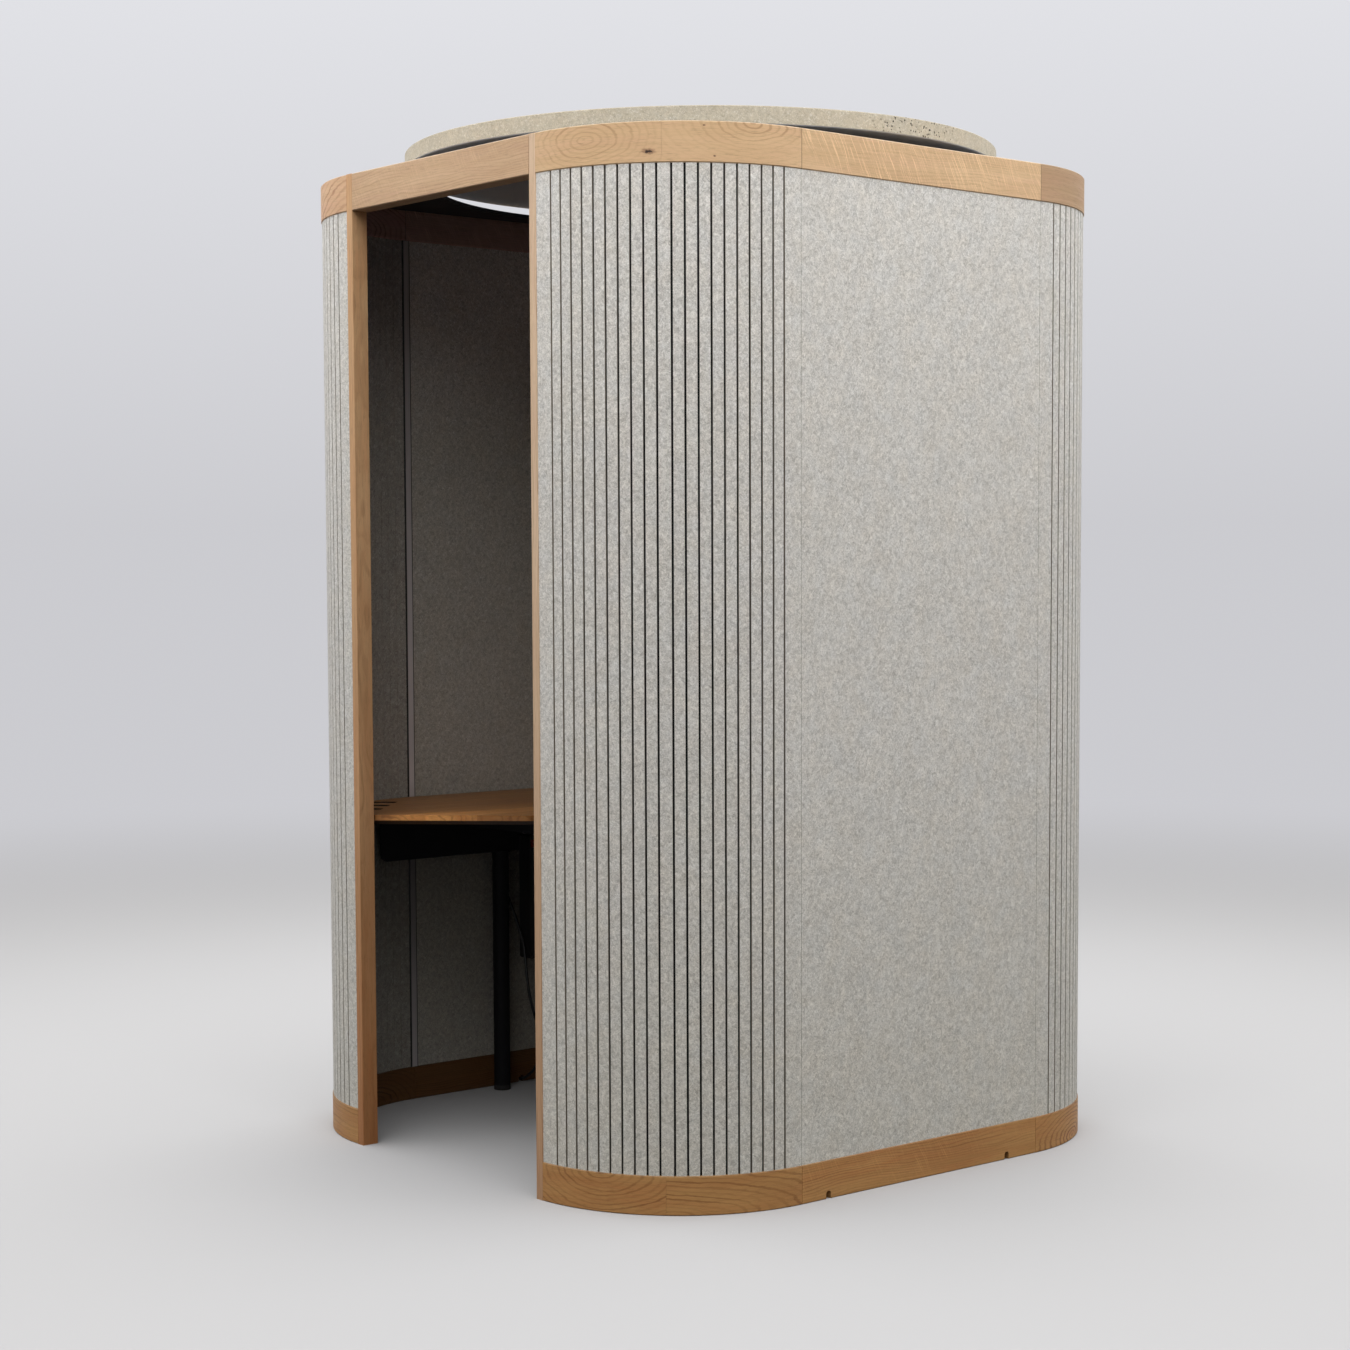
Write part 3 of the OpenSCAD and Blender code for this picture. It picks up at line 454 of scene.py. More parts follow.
def feltMaterial(name, spec, grooves=None, specks=None):
    material, tree, shader = newMaterial(name)
    place = objectPlace(tree)
    mottle = noise(tree, place, spec["mottleScale"], 6.0, 0.76, 0.9)
    fine = noise(tree, place, spec["mottleScale"] * 3.3, 3.0, 0.6)
    drift = noise(tree, place, 12.0, 4.0, 0.6)
    leaning = stretch(tree, turned(tree, place, (35, 10, 0)), (1.0, 1.0, 0.2))
    crossing = stretch(tree, turned(tree, place, (-50, 25, 0)), (1.0, 1.0, 0.2))
    fibres = noise(tree, leaning, spec["fibreScale"], 3, 0.6, 1.0)
    strands = noise(tree, crossing, spec["fibreScale"], 3, 0.6, 1.0)
    share = calc(tree, "MULTIPLY_ADD", fine, 0.52, mottle)
    share = calc(tree, "MULTIPLY_ADD", calc(tree, "SUBTRACT", drift, 0.5), spec["driftShare"], share)
    color = blendColor(tree, span(tree, share, 0.58, 0.94), spec["dark"], spec["light"])
    both = calc(tree, "ADD", fibres, strands)
    hairs = calc(tree, "MINIMUM", fibres, strands)
    color = blendColor(tree, span(tree, hairs, 0.26, 0.40, 0.50, 0.0), color, spec["hair"])
    color = blendColor(tree, span(tree, both, 1.06, 1.28, 0.0, 0.40), color, spec["pale"])
    # blue-grey and cream wool are blended unevenly
    wool = span(tree, noise(tree, place, 17.0, 5.0, 0.66), 0.34, 0.66)
    color = blendColor(tree, 1.0, color, blendColor(tree, wool, spec["cool"], spec["warm"]), "MULTIPLY")
    if specks:
        crowd = span(tree, distanceFrom(tree, place, specks["place"]), *specks["reach"], 1.0, 0.0)
        spots = span(tree, cells(tree, place, specks["scale"]), 0.27, 0.36, 1.0, 0.0)
        chosen = span(tree, noise(tree, place, 75.0, 1.0, 0.5), 0.47, 0.52)
        spots = calc(tree, "MULTIPLY", spots, calc(tree, "MULTIPLY", crowd, chosen))
        stray = span(tree, cells(tree, place, specks["strayScale"]), 0.03, 0.045, 0.8, 0.0)
        color = blendColor(tree, calc(tree, "MAXIMUM", spots, stray), color, specks["color"])
    if grooves:
        # painted shade: the walls of each groove are painted darker than the pressed face, and its floor is
        # painted black
        distance = cornerDistance(tree, place)
        face, outward = grooves
        depth = calc(tree, "MULTIPLY", calc(tree, "SUBTRACT", distance, face), -outward)
        grooveWallShadeShare = span(tree, depth, *spec["wallSpan"], smooth=True)
        floor = span(tree, depth, *spec["floorSpan"], smooth=True)
        color = blendColor(tree, grooveWallShadeShare, color, spec["grooveWallShade"])
        color = blendColor(tree, floor, color, spec["grooveFloorShade"])
    color = tintByHeight(tree, color, spec["low"], *spec["lowSpan"])
    if "high" in spec:
        color = tintByHeight(tree, color, spec["high"], *spec["highSpan"])
    # painted shade: the faces of the roof felt that look up are darkened, against the light from above
    if "topFaceShade" in spec:
        edge = span(tree, splitVector(tree, surfaceNormal(tree))[2], 0.10, 0.75)
        color = blendColor(tree, edge, color, spec["topFaceShade"], "MULTIPLY")
    # painted light and shade: the faces that look down take a pale cool grey in place of the felt's colour,
    # for how they are lit under the disc
    if "undersideLightAndShade" in spec:
        under = span(tree, splitVector(tree, surfaceNormal(tree))[2], -0.7, -0.4, 1.0, 0.0)
        color = blendColor(tree, under, color, spec["undersideLightAndShade"])
    tree.links.new(color, shader.inputs["Base Color"])
    shader.inputs["Roughness"].default_value = spec["roughness"]
    shader.inputs["Specular IOR Level"].default_value = spec["gloss"]
    shader.inputs["Sheen Weight"].default_value = spec["sheen"]
    shader.inputs["Sheen Roughness"].default_value = spec["sheenRoughness"]
    height = calc(tree, "MULTIPLY_ADD", both, 0.5, mottle)
    addBump(tree, shader, height, *spec["bump"])
    return material


sides = ["left", "right", "back"]
corners = ["front_right", "back_right", "back_left", "front_left"]
outerCornerFelt = feltMaterial("outerCornerFelt", wallFelt, (booth["outerFeltRadius"], 1))
innerCornerFelt = feltMaterial("innerCornerFelt", shadedInnerCurvedFelt, (booth["innerFeltRadius"], -1))
paint(feltMaterial("outerFlatFelt", wallFelt), *[f"felt_outer_{side}" for side in sides])
paint(feltMaterial("innerFlatFelt", shadedInnerFelt), *[f"felt_inner_{side}" for side in sides])
paint(outerCornerFelt, *[f"felt_outer_corner_{corner}" for corner in corners])
paint(innerCornerFelt, *[f"felt_inner_corner_{corner}" for corner in corners])
paint(feltMaterial("roofFelt", roofFelt, specks=speckled), "roof_disc_felt")
print("felt finished")


# oak

satin = {
    "roughness": (0.46, 0.60),
    "gloss": 0.30,
    "edge": (0.66, 0.71, 0.76),         # painted shade on the top faces, as a tint
    "inner": (0.72, 0.68, 1.05),        # painted shade on the face towards the inside, as a tint
    "ringWidth": 0.006,
    "lineShare": 0.45,
    "farShare": 0.35,           # how strongly the rings far from a loop's middle show
    "flecks": 0.0,              # strength of the rays
    "staves": 0.0,              # width of the staves of a glued-up board
    "lowSpan": (1.3, 0.0),      # heights between which the tint "low" grows, on the boards that have it
}
oakTones = {
    "ring": dict(
        satin, light=(0.735, 0.505, 0.292), dark=(0.485, 0.302, 0.150), rose=(0.700, 0.452, 0.272),
        line=(0.320, 0.165, 0.070), lineShare=0.80,
    ),
    "ringShaded": dict(
        satin, light=(0.520, 0.345, 0.200), dark=(0.350, 0.215, 0.110), rose=(0.540, 0.330, 0.205),
        line=(0.250, 0.135, 0.060),
    ),
    "ringRed": dict(
        satin, light=(0.720, 0.475, 0.280), dark=(0.480, 0.280, 0.145), rose=(0.680, 0.400, 0.245),
        line=(0.380, 0.160, 0.080), lineShare=0.75, farShare=1.0,
    ),
    "plinth": dict(
        satin, light=(0.535, 0.288, 0.102), dark=(0.285, 0.125, 0.040), rose=(0.480, 0.210, 0.072),
        line=(0.140, 0.044, 0.011), lineShare=0.95, farShare=0.60, inner=(0.30, 0.27, 0.27),
    ),
    "lintel": dict(
        satin, light=(0.635, 0.432, 0.262), dark=(0.440, 0.268, 0.145), rose=(0.560, 0.350, 0.220),
        line=(0.330, 0.185, 0.090), flecks=0.3,
    ),
    "jamb": dict(
        satin, light=(0.770, 0.575, 0.400), dark=(0.560, 0.375, 0.235), rose=(0.690, 0.480, 0.335),
        line=(0.400, 0.240, 0.135), lineShare=0.60, low=(0.68, 0.54, 0.43),
    ),
    "jambDeep": dict(
        satin, light=(0.670, 0.415, 0.222), dark=(0.455, 0.255, 0.118), rose=(0.640, 0.340, 0.166),
        line=(0.300, 0.140, 0.055), lineShare=0.60, low=(0.66, 0.48, 0.35),
    ),
    "desk": dict(
        satin, light=(0.540, 0.258, 0.076), dark=(0.190, 0.072, 0.018), rose=(0.430, 0.164, 0.044),
        line=(0.110, 0.040, 0.010), lineShare=0.70, ringWidth=0.016, staves=0.085,
        roughness=(0.30, 0.42), gloss=0.36, edge=(1.0, 1.0, 1.0),
    ),
}
oakTones["ringSide"] = dict(oakTones["ring"], lineShare=0.30, flecks=0.85)
oakTones["plinthSide"] = dict(oakTones["plinth"], lineShare=0.50, flecks=0.30)
knotTones = {"rim": (0.20, 0.085, 0.045), "heart": (0.025, 0.012, 0.008)}
jointLine = (0.060, 0.032, 0.016)       # colour where one board meets the next

# how fine each part of the figure is, along, across and through the board
grainScales = {
    "sway": (2.2, 9.0, 9.0),
    "ripple": (7.0, 20.0, 20.0),
    "fading": (3.5, 22, 22),
    "streaks": (4.0, 150.0, 150.0),
    "clouds": (5.0, 30.0, 30.0),
    "pores": (45.0, 1100.0, 1100.0),
    "rays": (12.0, 640.0, 60.0),
    "rayCrowds": (4, 12, 12),
    "knots": (150, 260, 260),
}

# the cable slots cross the desk's front corner on the slant
deskSlots = {
    "acrossPlaces": [-0.1043, -0.0173, 0.0697],
    "width": 0.024,
    "rim": 0.0035,              # how far the painted shade reaches past the slot
    "innerEnd": -0.7492,
    "slotShade": (0.004, 0.0035, 0.003),
}

# painted light: a paler strip on the desk by its slanting front, where light through the doorway falls,
# strongest near the doorway's left side
doorwayLightPool = {
    "edge": -0.2517,            # where the front lies, across the slant
    "start": -0.700,            # the strip's narrow end, and how much it widens in each metre
    "widening": 0.60,
    "fade": 0.05,               # width of its soft border
    "strongTo": -0.630,
    "goneBy": -0.440,
    "tint": (1.66, 1.62, 1.60),
}


def slantPlaces(tree):
    # across and along the desk's slanting front
    x, y = splitVector(tree, objectPlace(tree))[:2]
    across = calc(tree, "MULTIPLY", calc(tree, "SUBTRACT", y, x), math.sqrt(0.5))
    inward = calc(tree, "MULTIPLY", calc(tree, "ADD", x, y), math.sqrt(0.5))
    return across, inward


def doorwayLightShare(tree, spec):
    across, inward = slantPlaces(tree)
    width = calc(tree, "MULTIPLY", calc(tree, "SUBTRACT", inward, spec["start"]), spec["widening"])
    beyond = calc(tree, "SUBTRACT", calc(tree, "SUBTRACT", across, spec["edge"]), width)
    litShare = span(tree, beyond, -spec["fade"] / 2, spec["fade"] / 2, 1.0, 0.0, True)
    return calc(tree, "MULTIPLY", litShare, span(tree, inward, spec["strongTo"], spec["goneBy"], 1.0, 0.0))


def slotWalls(tree, spec):
    across, inward = slantPlaces(tree)
    mask = 0.0
    for place in spec["acrossPlaces"]:
        off = calc(tree, "ABSOLUTE", calc(tree, "SUBTRACT", across, place))
        inside = calc(tree, "LESS_THAN", off, spec["width"] / 2 + spec["rim"])
        mask = calc(tree, "MAXIMUM", mask, inside)
    return calc(tree, "MULTIPLY", mask, calc(tree, "LESS_THAN", inward, spec["innerEnd"] + spec["rim"]))


def grainAlongX(tree, place):
    x, y, z = splitVector(tree, place)
    return joinVector(tree, x, z, y)


def grainAlongY(tree, place):
    x, y, z = splitVector(tree, place)
    return joinVector(tree, y, z, x)


def grainAlongZ(tree, place):
    x, y, z = splitVector(tree, place)
    return joinVector(tree, z, x, y)


def grainFlatY(tree, place):
    # a board that lies flat, with its grain along Y
    x, y, z = splitVector(tree, place)
    return joinVector(tree, y, x, z)


def grainRoundCorner(signX, signY):
    def grain(tree, place):
        x, y, z = splitVector(tree, place)
        acrossX = calc(tree, "SUBTRACT", x, signX * booth["cornerX"])
        acrossY = calc(tree, "SUBTRACT", y, signY * booth["cornerY"])
        angle = calc(tree, "ARCTAN2", acrossY, acrossX)
        along = calc(tree, "MULTIPLY", angle, booth["timberRadius"])
        return joinVector(tree, along, z, cornerDistance(tree, place))
    return grain


def loopField(tree, along, across, loop):
    # rings round one place on the board, as where a plain-sawn face cuts a cone of growth
    placeAlong, placeAcross, longRing, tallRing = loop
    first = calc(tree, "DIVIDE", calc(tree, "SUBTRACT", along, placeAlong), longRing)
    second = calc(tree, "DIVIDE", calc(tree, "SUBTRACT", across, placeAcross), tallRing)
    squares = calc(tree, "MULTIPLY", first, first)
    squares = calc(tree, "MULTIPLY_ADD", second, second, squares)
    return calc(tree, "SQRT", calc(tree, "ADD", squares, 0.02))


def staveTone(tree, across, width, seed):
    # a glued-up board: every stave has a tone of its own
    number = calc(tree, "FLOOR", calc(tree, "DIVIDE", across, width))
    node = tree.nodes.new("ShaderNodeTexWhiteNoise")
    node.noise_dimensions = "1D"
    feed(tree, node.inputs["W"], calc(tree, "ADD", number, seed))
    return node.outputs["Value"]


def growthRings(tree, moved, along, across, tone, sway, loops, joint):
    # grows by one from each year's ring to the next, and tells which of a corner's two boards it is on
    if not loops:
        rings = calc(tree, "DIVIDE", across, tone["ringWidth"])
        return calc(tree, "MULTIPLY_ADD", sway, 11.0, rings), 0.0
    rings = loopField(tree, along, across, loops[0])
    other = loopField(tree, along, across, loops[1])
    second = calc(tree, "GREATER_THAN", along, joint)
    rings = calc(tree, "MULTIPLY_ADD", calc(tree, "SUBTRACT", other, rings), second, rings)
    ripple = noise(tree, stretch(tree, moved, grainScales["ripple"]), 1.0, 4.0, 0.6)
    return calc(tree, "MULTIPLY_ADD", ripple, 2.4, rings), second


def ringLines(tree, moved, rings, tone, seed, loops):
    # no two years are alike: some rings are dark and some hardly show
    years = noise(tree, joinVector(tree, rings, seed, 0.0), 0.9, 2.0, 0.5)
    wave = calc(tree, "SINE", calc(tree, "MULTIPLY", rings, 2 * math.pi))
    lines = span(tree, wave, 0.1, 1.0, 0.0, 1.0, True)
    lines = calc(tree, "MULTIPLY", lines, span(tree, years, 0.34, 0.62, 0.30, 1.0))
    if loops:
        # the rings show most near their middle
        lines = calc(tree, "MULTIPLY", lines, span(tree, rings, 3.0, 8.5, 1.0, tone["farShare"]))
    fading = noise(tree, stretch(tree, moved, grainScales["fading"]), 1.0, 3.0)
    return calc(tree, "MULTIPLY", lines, span(tree, fading, 0.34, 0.58, 0.30, 1.0))


def rayFlecks(tree, moved, along, across, through, strength):
    # rays of a quarter-sawn face: thin pale strokes that lean across the grain
    bowed = noise(tree, stretch(tree, moved, (12.0, 12.0, 12.0)), 1.0, 1.0)
    leaning = joinVector(tree, along, calc(tree, "MULTIPLY_ADD", bowed, 0.034, across), through)
    leaning = stretch(tree, turned(tree, leaning, (0, 0, 62)), grainScales["rays"])
    rays = noise(tree, leaning, 1.0, 1.5, 0.5)
    crowd = noise(tree, stretch(tree, moved, grainScales["rayCrowds"]), 1.0, 2.0)
    crowd = span(tree, crowd, 0.36, 0.58)
    return calc(tree, "MULTIPLY", span(tree, rays, 0.59, 0.65, 0.0, strength), crowd)


def addKnot(tree, color, moved, along, across, knot):
    uneven = noise(tree, stretch(tree, moved, grainScales["knots"], (0, 0, 30)), 1.0, 4.0, 0.7)
    field = calc(tree, "MULTIPLY_ADD", uneven, 2.6, loopField(tree, along, across, knot))
    color = blendColor(tree, span(tree, field, 2.3, 3.4, 0.62, 0.0, True), color, knotTones["rim"])
    return blendColor(tree, span(tree, field, 1.9, 2.2, 0.97, 0.0, True), color, knotTones["heart"])


def oakMaterial(name, tone, grain, seed, loops=(), joint=None, knots=(), slots=None,
                innerShadeReach=None, seams=None):
    material, tree, shader = newMaterial(name)
    place = grain(tree, objectPlace(tree))
    along, across, through = splitVector(tree, place)
    moved = stretch(tree, place, (1, 1, 1), move=(seed * 0.73, seed * 0.31, seed * 0.17))
    sway = noise(tree, stretch(tree, moved, grainScales["sway"]), 1.0, 3.0, 0.5)
    rings, second = growthRings(tree, moved, along, across, tone, sway, loops, joint)
    lines = ringLines(tree, moved, rings, tone, seed, loops)
    streaks = noise(tree, stretch(tree, moved, grainScales["streaks"]), 1.0, 5.0, 0.68)
    clouds = noise(tree, stretch(tree, moved, grainScales["clouds"]), 1.0, 4.0, 0.6)
    pores = noise(tree, stretch(tree, moved, grainScales["pores"]), 1.0, 2.0, 0.5)
    pores = span(tree, pores, 0.58, 0.68)
    middle = tuple(0.6 * light + 0.4 * dark for light, dark in zip(tone["light"], tone["dark"]))
    color = blendColor(tree, span(tree, clouds, 0.40, 0.62), tone["light"], tone["rose"])
    color = blendColor(tree, span(tree, streaks, 0.36, 0.66), color, middle)
    color = blendColor(tree, calc(tree, "MULTIPLY", second, 0.25), color, tone["light"])
    color = blendColor(tree, calc(tree, "MULTIPLY", lines, tone["lineShare"]), color, tone["line"])
    color = blendColor(tree, span(tree, sway, 0.38, 0.68, 0.0, 0.35), color, tone["dark"])
    if tone["staves"]:
        shift = staveTone(tree, calc(tree, "MULTIPLY_ADD", sway, 0.006, across), tone["staves"], seed)
        color = blendColor(tree, calc(tree, "MULTIPLY", shift, 0.75), color, tone["dark"])
    deep = tuple(value * 0.45 for value in tone["dark"])
    color = blendColor(tree, calc(tree, "MULTIPLY", pores, 0.35), color, deep)
    if tone["flecks"]:
        rays = rayFlecks(tree, moved, along, across, through, tone["flecks"])
        pale = tuple(min(1.0, value * 1.34) for value in tone["light"])
        color = blendColor(tree, rays, color, pale)
    for knot in knots:
        color = addKnot(tree, color, moved, along, across, knot)
    # painted shade: the top faces are darkened and made greyer, against the light from above
    topFaceShadeShare = span(tree, splitVector(tree, surfaceNormal(tree))[2], 0.3, 0.7)
    color = blendColor(tree, topFaceShadeShare, color, blendColor(tree, 1.0, color, tone["edge"], "MULTIPLY"))
    if "low" in tone:
        color = tintByHeight(tree, color, tone["low"], *tone["lowSpan"])
    if innerShadeReach:
        # painted shade: the face towards the inside is darkened, as it lies in the booth's shade
        inside = calc(tree, "LESS_THAN", calc(tree, "ABSOLUTE", through), innerShadeReach)
        color = blendColor(tree, inside, color, tone["inner"], "MULTIPLY")
    if seams:
        # the joint at each end of the board
        end = span(tree, calc(tree, "ABSOLUTE", along), seams - 0.0016, seams - 0.0009, 0.0, 0.75)
        color = blendColor(tree, end, color, jointLine)
    rough = span(tree, streaks, 0.3, 0.7, *tone["roughness"])
    if slots:
        # painted light from the doorway on the desk's slanting front
        color = blendColor(tree, doorwayLightShare(tree, doorwayLightPool), color, doorwayLightPool["tint"], "MULTIPLY")
        # painted shade: the slot walls and a thin rim round them are painted near black, for the dark under
        # the desk seen through them
        slotShadeShare = slotWalls(tree, slots)
        color = blendColor(tree, slotShadeShare, color, slots["slotShade"])
        # painted shade: the faces that look down, such as the bevel under the front edge, take the same
        # near black
        under = span(tree, splitVector(tree, surfaceNormal(tree))[2], -0.35, -0.15, 0.85, 0.0)
        color = blendColor(tree, under, color, slots["slotShade"])
        rough = calc(tree, "MAXIMUM", rough, slotShadeShare)
    tree.links.new(color, shader.inputs["Base Color"])
    tree.links.new(rough, shader.inputs["Roughness"])
    shader.inputs["Specular IOR Level"].default_value = tone["gloss"]
    relief = calc(tree, "MULTIPLY_ADD", pores, -1.0, calc(tree, "MULTIPLY", lines, -0.4))
    addBump(tree, shader, relief, 0.25, 0.0005)
    return material


def onArc(degrees):
    return math.radians(degrees) * booth["timberRadius"]


cornerSigns = {"front_right": (1, -1), "back_right": (1, 1), "back_left": (-1, 1), "front_left": (-1, -1)}
cornerStart = {"front_right": -90, "back_right": 0, "back_left": 90, "front_left": -180}   # degrees

# each corner's two boards: degrees from its start, height, length and height of one ring
ringLoops = {
    "front_right": [(20.5, 2.173, 0.0170, 0.0086), (72.5, 2.201, 0.0185, 0.0084)],
    "back_right": [(30.0, 2.080, 0.300, 0.0090), (66.0, 2.110, 0.040, 0.0085)],
    "back_left": [(18.0, 2.190, 0.018, 0.0080), (60.0, 2.160, 0.018, 0.0080)],
    "front_left": [(25.0, 2.135, 0.019, 0.0080), (104.0, 2.060, 0.032, 0.0150)],
}
plinthLoops = {
    "front_right": [(24.0, 0.090, 0.0190, 0.0092), (46.0, -0.012, 0.0330, 0.0092)],
    "back_right": [(26.0, 0.010, 0.020, 0.0085), (62.0, 0.070, 0.024, 0.0080)],
    "back_left": [(20.0, 0.030, 0.022, 0.0076), (70.0, 0.000, 0.026, 0.0085)],
    "front_left": [(28.0, 0.010, 0.024, 0.0080), (70.0, -0.140, 0.120, 0.0100)],
}
ringKnots = {
    "front_right": [
        (41.0, 2.1420, 0.0090, 0.0036),
        (57.5, 2.1930, 0.0022, 0.0012),
        (60.6, 2.1330, 0.0020, 0.0012),
    ],
}
ringToneNames = {"back_right": "ringShaded", "front_left": "ringRed"}
innerShadeDepth = 0.010          # of the timber that takes the inside's painted shade
grainSeeds = {
    "ringCorners": 3, "plinthCorners": 13, "ringSides": 23, "plinthSides": 33,
    "lintel": 41, "jambLeft": 47, "jambRight": 53, "desk": 59,
}


def placedLoops(corner, loops):
    return [(onArc(cornerStart[corner] + loop[0]), *loop[1:]) for loop in loops]


for number, corner in enumerate(corners):
    grain = grainRoundCorner(*cornerSigns[corner])
    joint = onArc(cornerStart[corner] + 45)
    innerShadeReach = booth["innerTimberRadius"] + innerShadeDepth
    paint(
        oakMaterial(
            f"oakRing_{corner}", oakTones[ringToneNames.get(corner, "ring")], grain,
            grainSeeds["ringCorners"] + number, placedLoops(corner, ringLoops[corner]), joint,
            placedLoops(corner, ringKnots.get(corner, [])), innerShadeReach=innerShadeReach,
        ),
        f"ring_corner_{corner}",
    )
    paint(
        oakMaterial(
            f"oakPlinth_{corner}", oakTones["plinth"], grain,
            grainSeeds["plinthCorners"] + number, placedLoops(corner, plinthLoops[corner]), joint,
            innerShadeReach=innerShadeReach,
        ),
        f"plinth_corner_{corner}",
    )

for number, side in enumerate(sides):
    isBack = side == "back"
    grain = grainAlongX if isBack else grainAlongY
    innerShadeReach = booth["innerTimberY" if isBack else "innerTimberX"] + innerShadeDepth
    paint(
        oakMaterial(
            f"oakRing_{side}", oakTones["ringSide"], grain, grainSeeds["ringSides"] + number,
            innerShadeReach=innerShadeReach, seams=booth["cornerX" if isBack else "cornerY"],
        ),
        f"ring_{side}",
    )
    paint(
        oakMaterial(
            f"oakPlinth_{side}", oakTones["plinthSide"], grain, grainSeeds["plinthSides"] + number,
            innerShadeReach=innerShadeReach,
        ),
        f"plinth_{side}",
    )

paint(oakMaterial("oakLintel", oakTones["lintel"], grainAlongX, grainSeeds["lintel"]), "door_lintel")
paint(oakMaterial("oakJambLeft", oakTones["jambDeep"], grainAlongZ, grainSeeds["jambLeft"]), "jamb_left")
paint(oakMaterial("oakJambRight", oakTones["jamb"], grainAlongZ, grainSeeds["jambRight"]), "jamb_right")
paint(oakMaterial("oakDesk", oakTones["desk"], grainFlatY, grainSeeds["desk"], slots=deskSlots), "desk_top")
print("oak finished")


# metal, plastic, board and rubber

steelPaint = {
    "color": (0.005, 0.005, 0.006),
    "worn": (0.012, 0.012, 0.014),
    "roughness": (0.66, 0.80),
    "gloss": 0.22,
}


def paintedSteel(name, spec):
    material, tree, shader = newMaterial(name)
    place = objectPlace(tree)
    grit = noise(tree, place, 900.0, 3.0, 0.6)
    dust = noise(tree, place, 14.0, 4.0, 0.6)
    color = blendColor(tree, span(tree, dust, 0.45, 0.75, 0.0, 0.7), spec["color"], spec["worn"])
    tree.links.new(color, shader.inputs["Base Color"])
    tree.links.new(span(tree, dust, 0.3, 0.7, *spec["roughness"]), shader.inputs["Roughness"])
    shader.inputs["Specular IOR Level"].default_value = spec["gloss"]
    addBump(tree, shader, calc(tree, "ADD", grit, cells(tree, place, 620.0)), 0.18, 0.0004)
    return material


moulded = {"color": (0.013, 0.013, 0.014), "dusty": (0.045, 0.043, 0.040), "grain": 1500.0}


def mouldedPlastic(name, spec):
    material, tree, shader = newMaterial(name)
    place = objectPlace(tree)
    spark = cells(tree, place, spec["grain"], "SMOOTH_F1")
    film = noise(tree, place, 22.0, 5.0, 0.65)
    color = blendColor(tree, span(tree, film, 0.45, 0.75, 0.0, 0.45), spec["color"], spec["dusty"])
    tree.links.new(color, shader.inputs["Base Color"])
    tree.links.new(span(tree, film, 0.3, 0.7, 0.40, 0.55), shader.inputs["Roughness"])
    addBump(tree, shader, spark, 0.22, 0.0003)
    return material


rockerFinish = {"color": (0.260, 0.012, 0.010), "edge": (0.360, 0.035, 0.025)}


def rockerPlastic(name, spec):
    material, tree, shader = newMaterial(name)
    place = objectPlace(tree)
    film = noise(tree, place, 160.0, 4.0, 0.6)
    color = blendColor(tree, span(tree, film, 0.35, 0.75, 0.0, 0.5), spec["color"], spec["edge"])
    tree.links.new(color, shader.inputs["Base Color"])
    tree.links.new(span(tree, film, 0.3, 0.7, 0.22, 0.36), shader.inputs["Roughness"])
    shader.inputs["Coat Weight"].default_value = 0.3
    addBump(tree, shader, noise(tree, place, 1800.0, 2.0), 0.08, 0.0002)
    return material


blackened = {
    "light": (0.090, 0.090, 0.092),
    "dark": (0.040, 0.040, 0.041),
    "brushing": (300.0, 300.0, 300.0),
    "metallic": 1.0,
    "roughness": (0.38, 0.55),
}
anodised = {
    "light": (0.86, 0.80, 0.81),
    "dark": (0.68, 0.63, 0.64),
    "brushing": (900.0, 900.0, 6.0),
    "metallic": 0.2,
    "roughness": (0.34, 0.48),
    "gapShadeFrom": 0.0074,         # painted shade: dark lines beside the strip for the shadow gaps, from this far off the joint's middle
    "gapShadeColor": (0.030, 0.028, 0.026),
    # painted shade: darker under the ceiling, darkest just below the desk and lighter again towards the
    # floor: tint, and the heights it grows between
    "shadeByHeight": [
        ((0.60, 0.60, 0.60), 1.05, 2.00),
        ((0.31, 0.31, 0.31), 0.80, 0.66),
        ((2.05, 2.05, 2.05), 0.60, 0.12),
    ],
}


def brushedMetal(name, spec):
    material, tree, shader = newMaterial(name)
    place = objectPlace(tree)
    lines = noise(tree, stretch(tree, place, spec["brushing"]), 1.0, 3.0, 0.6)
    marks = noise(tree, place, 12.0, 4.0, 0.6)
    color = blendColor(tree, lines, spec["dark"], spec["light"])
    if "gapShadeFrom" in spec:
        # distance from the middle of the joint that the strip covers, on every wall
        x, y = splitVector(tree, place)[:2]
        offX = calc(tree, "ABSOLUTE", calc(tree, "SUBTRACT", calc(tree, "ABSOLUTE", x), booth["cornerX"]))
        offY = calc(tree, "ABSOLUTE", calc(tree, "SUBTRACT", calc(tree, "ABSOLUTE", y), booth["cornerY"]))
        off = calc(tree, "MINIMUM", offX, offY)
        # painted shade: dark lines along both edges of the strip, for the shadow gaps beside it
        gapShade = span(tree, off, spec["gapShadeFrom"], spec["gapShadeFrom"] + 0.0004)
        color = blendColor(tree, gapShade, color, spec["gapShadeColor"])
        # painted shade along the strip, by height
        for tint, start, end in spec["shadeByHeight"]:
            color = tintByHeight(tree, color, tint, start, end)
    tree.links.new(color, shader.inputs["Base Color"])
    shader.inputs["Metallic"].default_value = spec["metallic"]
    uneven = calc(tree, "MULTIPLY_ADD", lines, 0.5, calc(tree, "MULTIPLY", marks, 0.5))
    tree.links.new(span(tree, uneven, 0.3, 0.7, *spec["roughness"]), shader.inputs["Roughness"])
    addBump(tree, shader, lines, 0.12, 0.0003)
    return material


boardFinish = {"color": (0.010, 0.010, 0.011), "fleck": (0.040, 0.041, 0.045)}


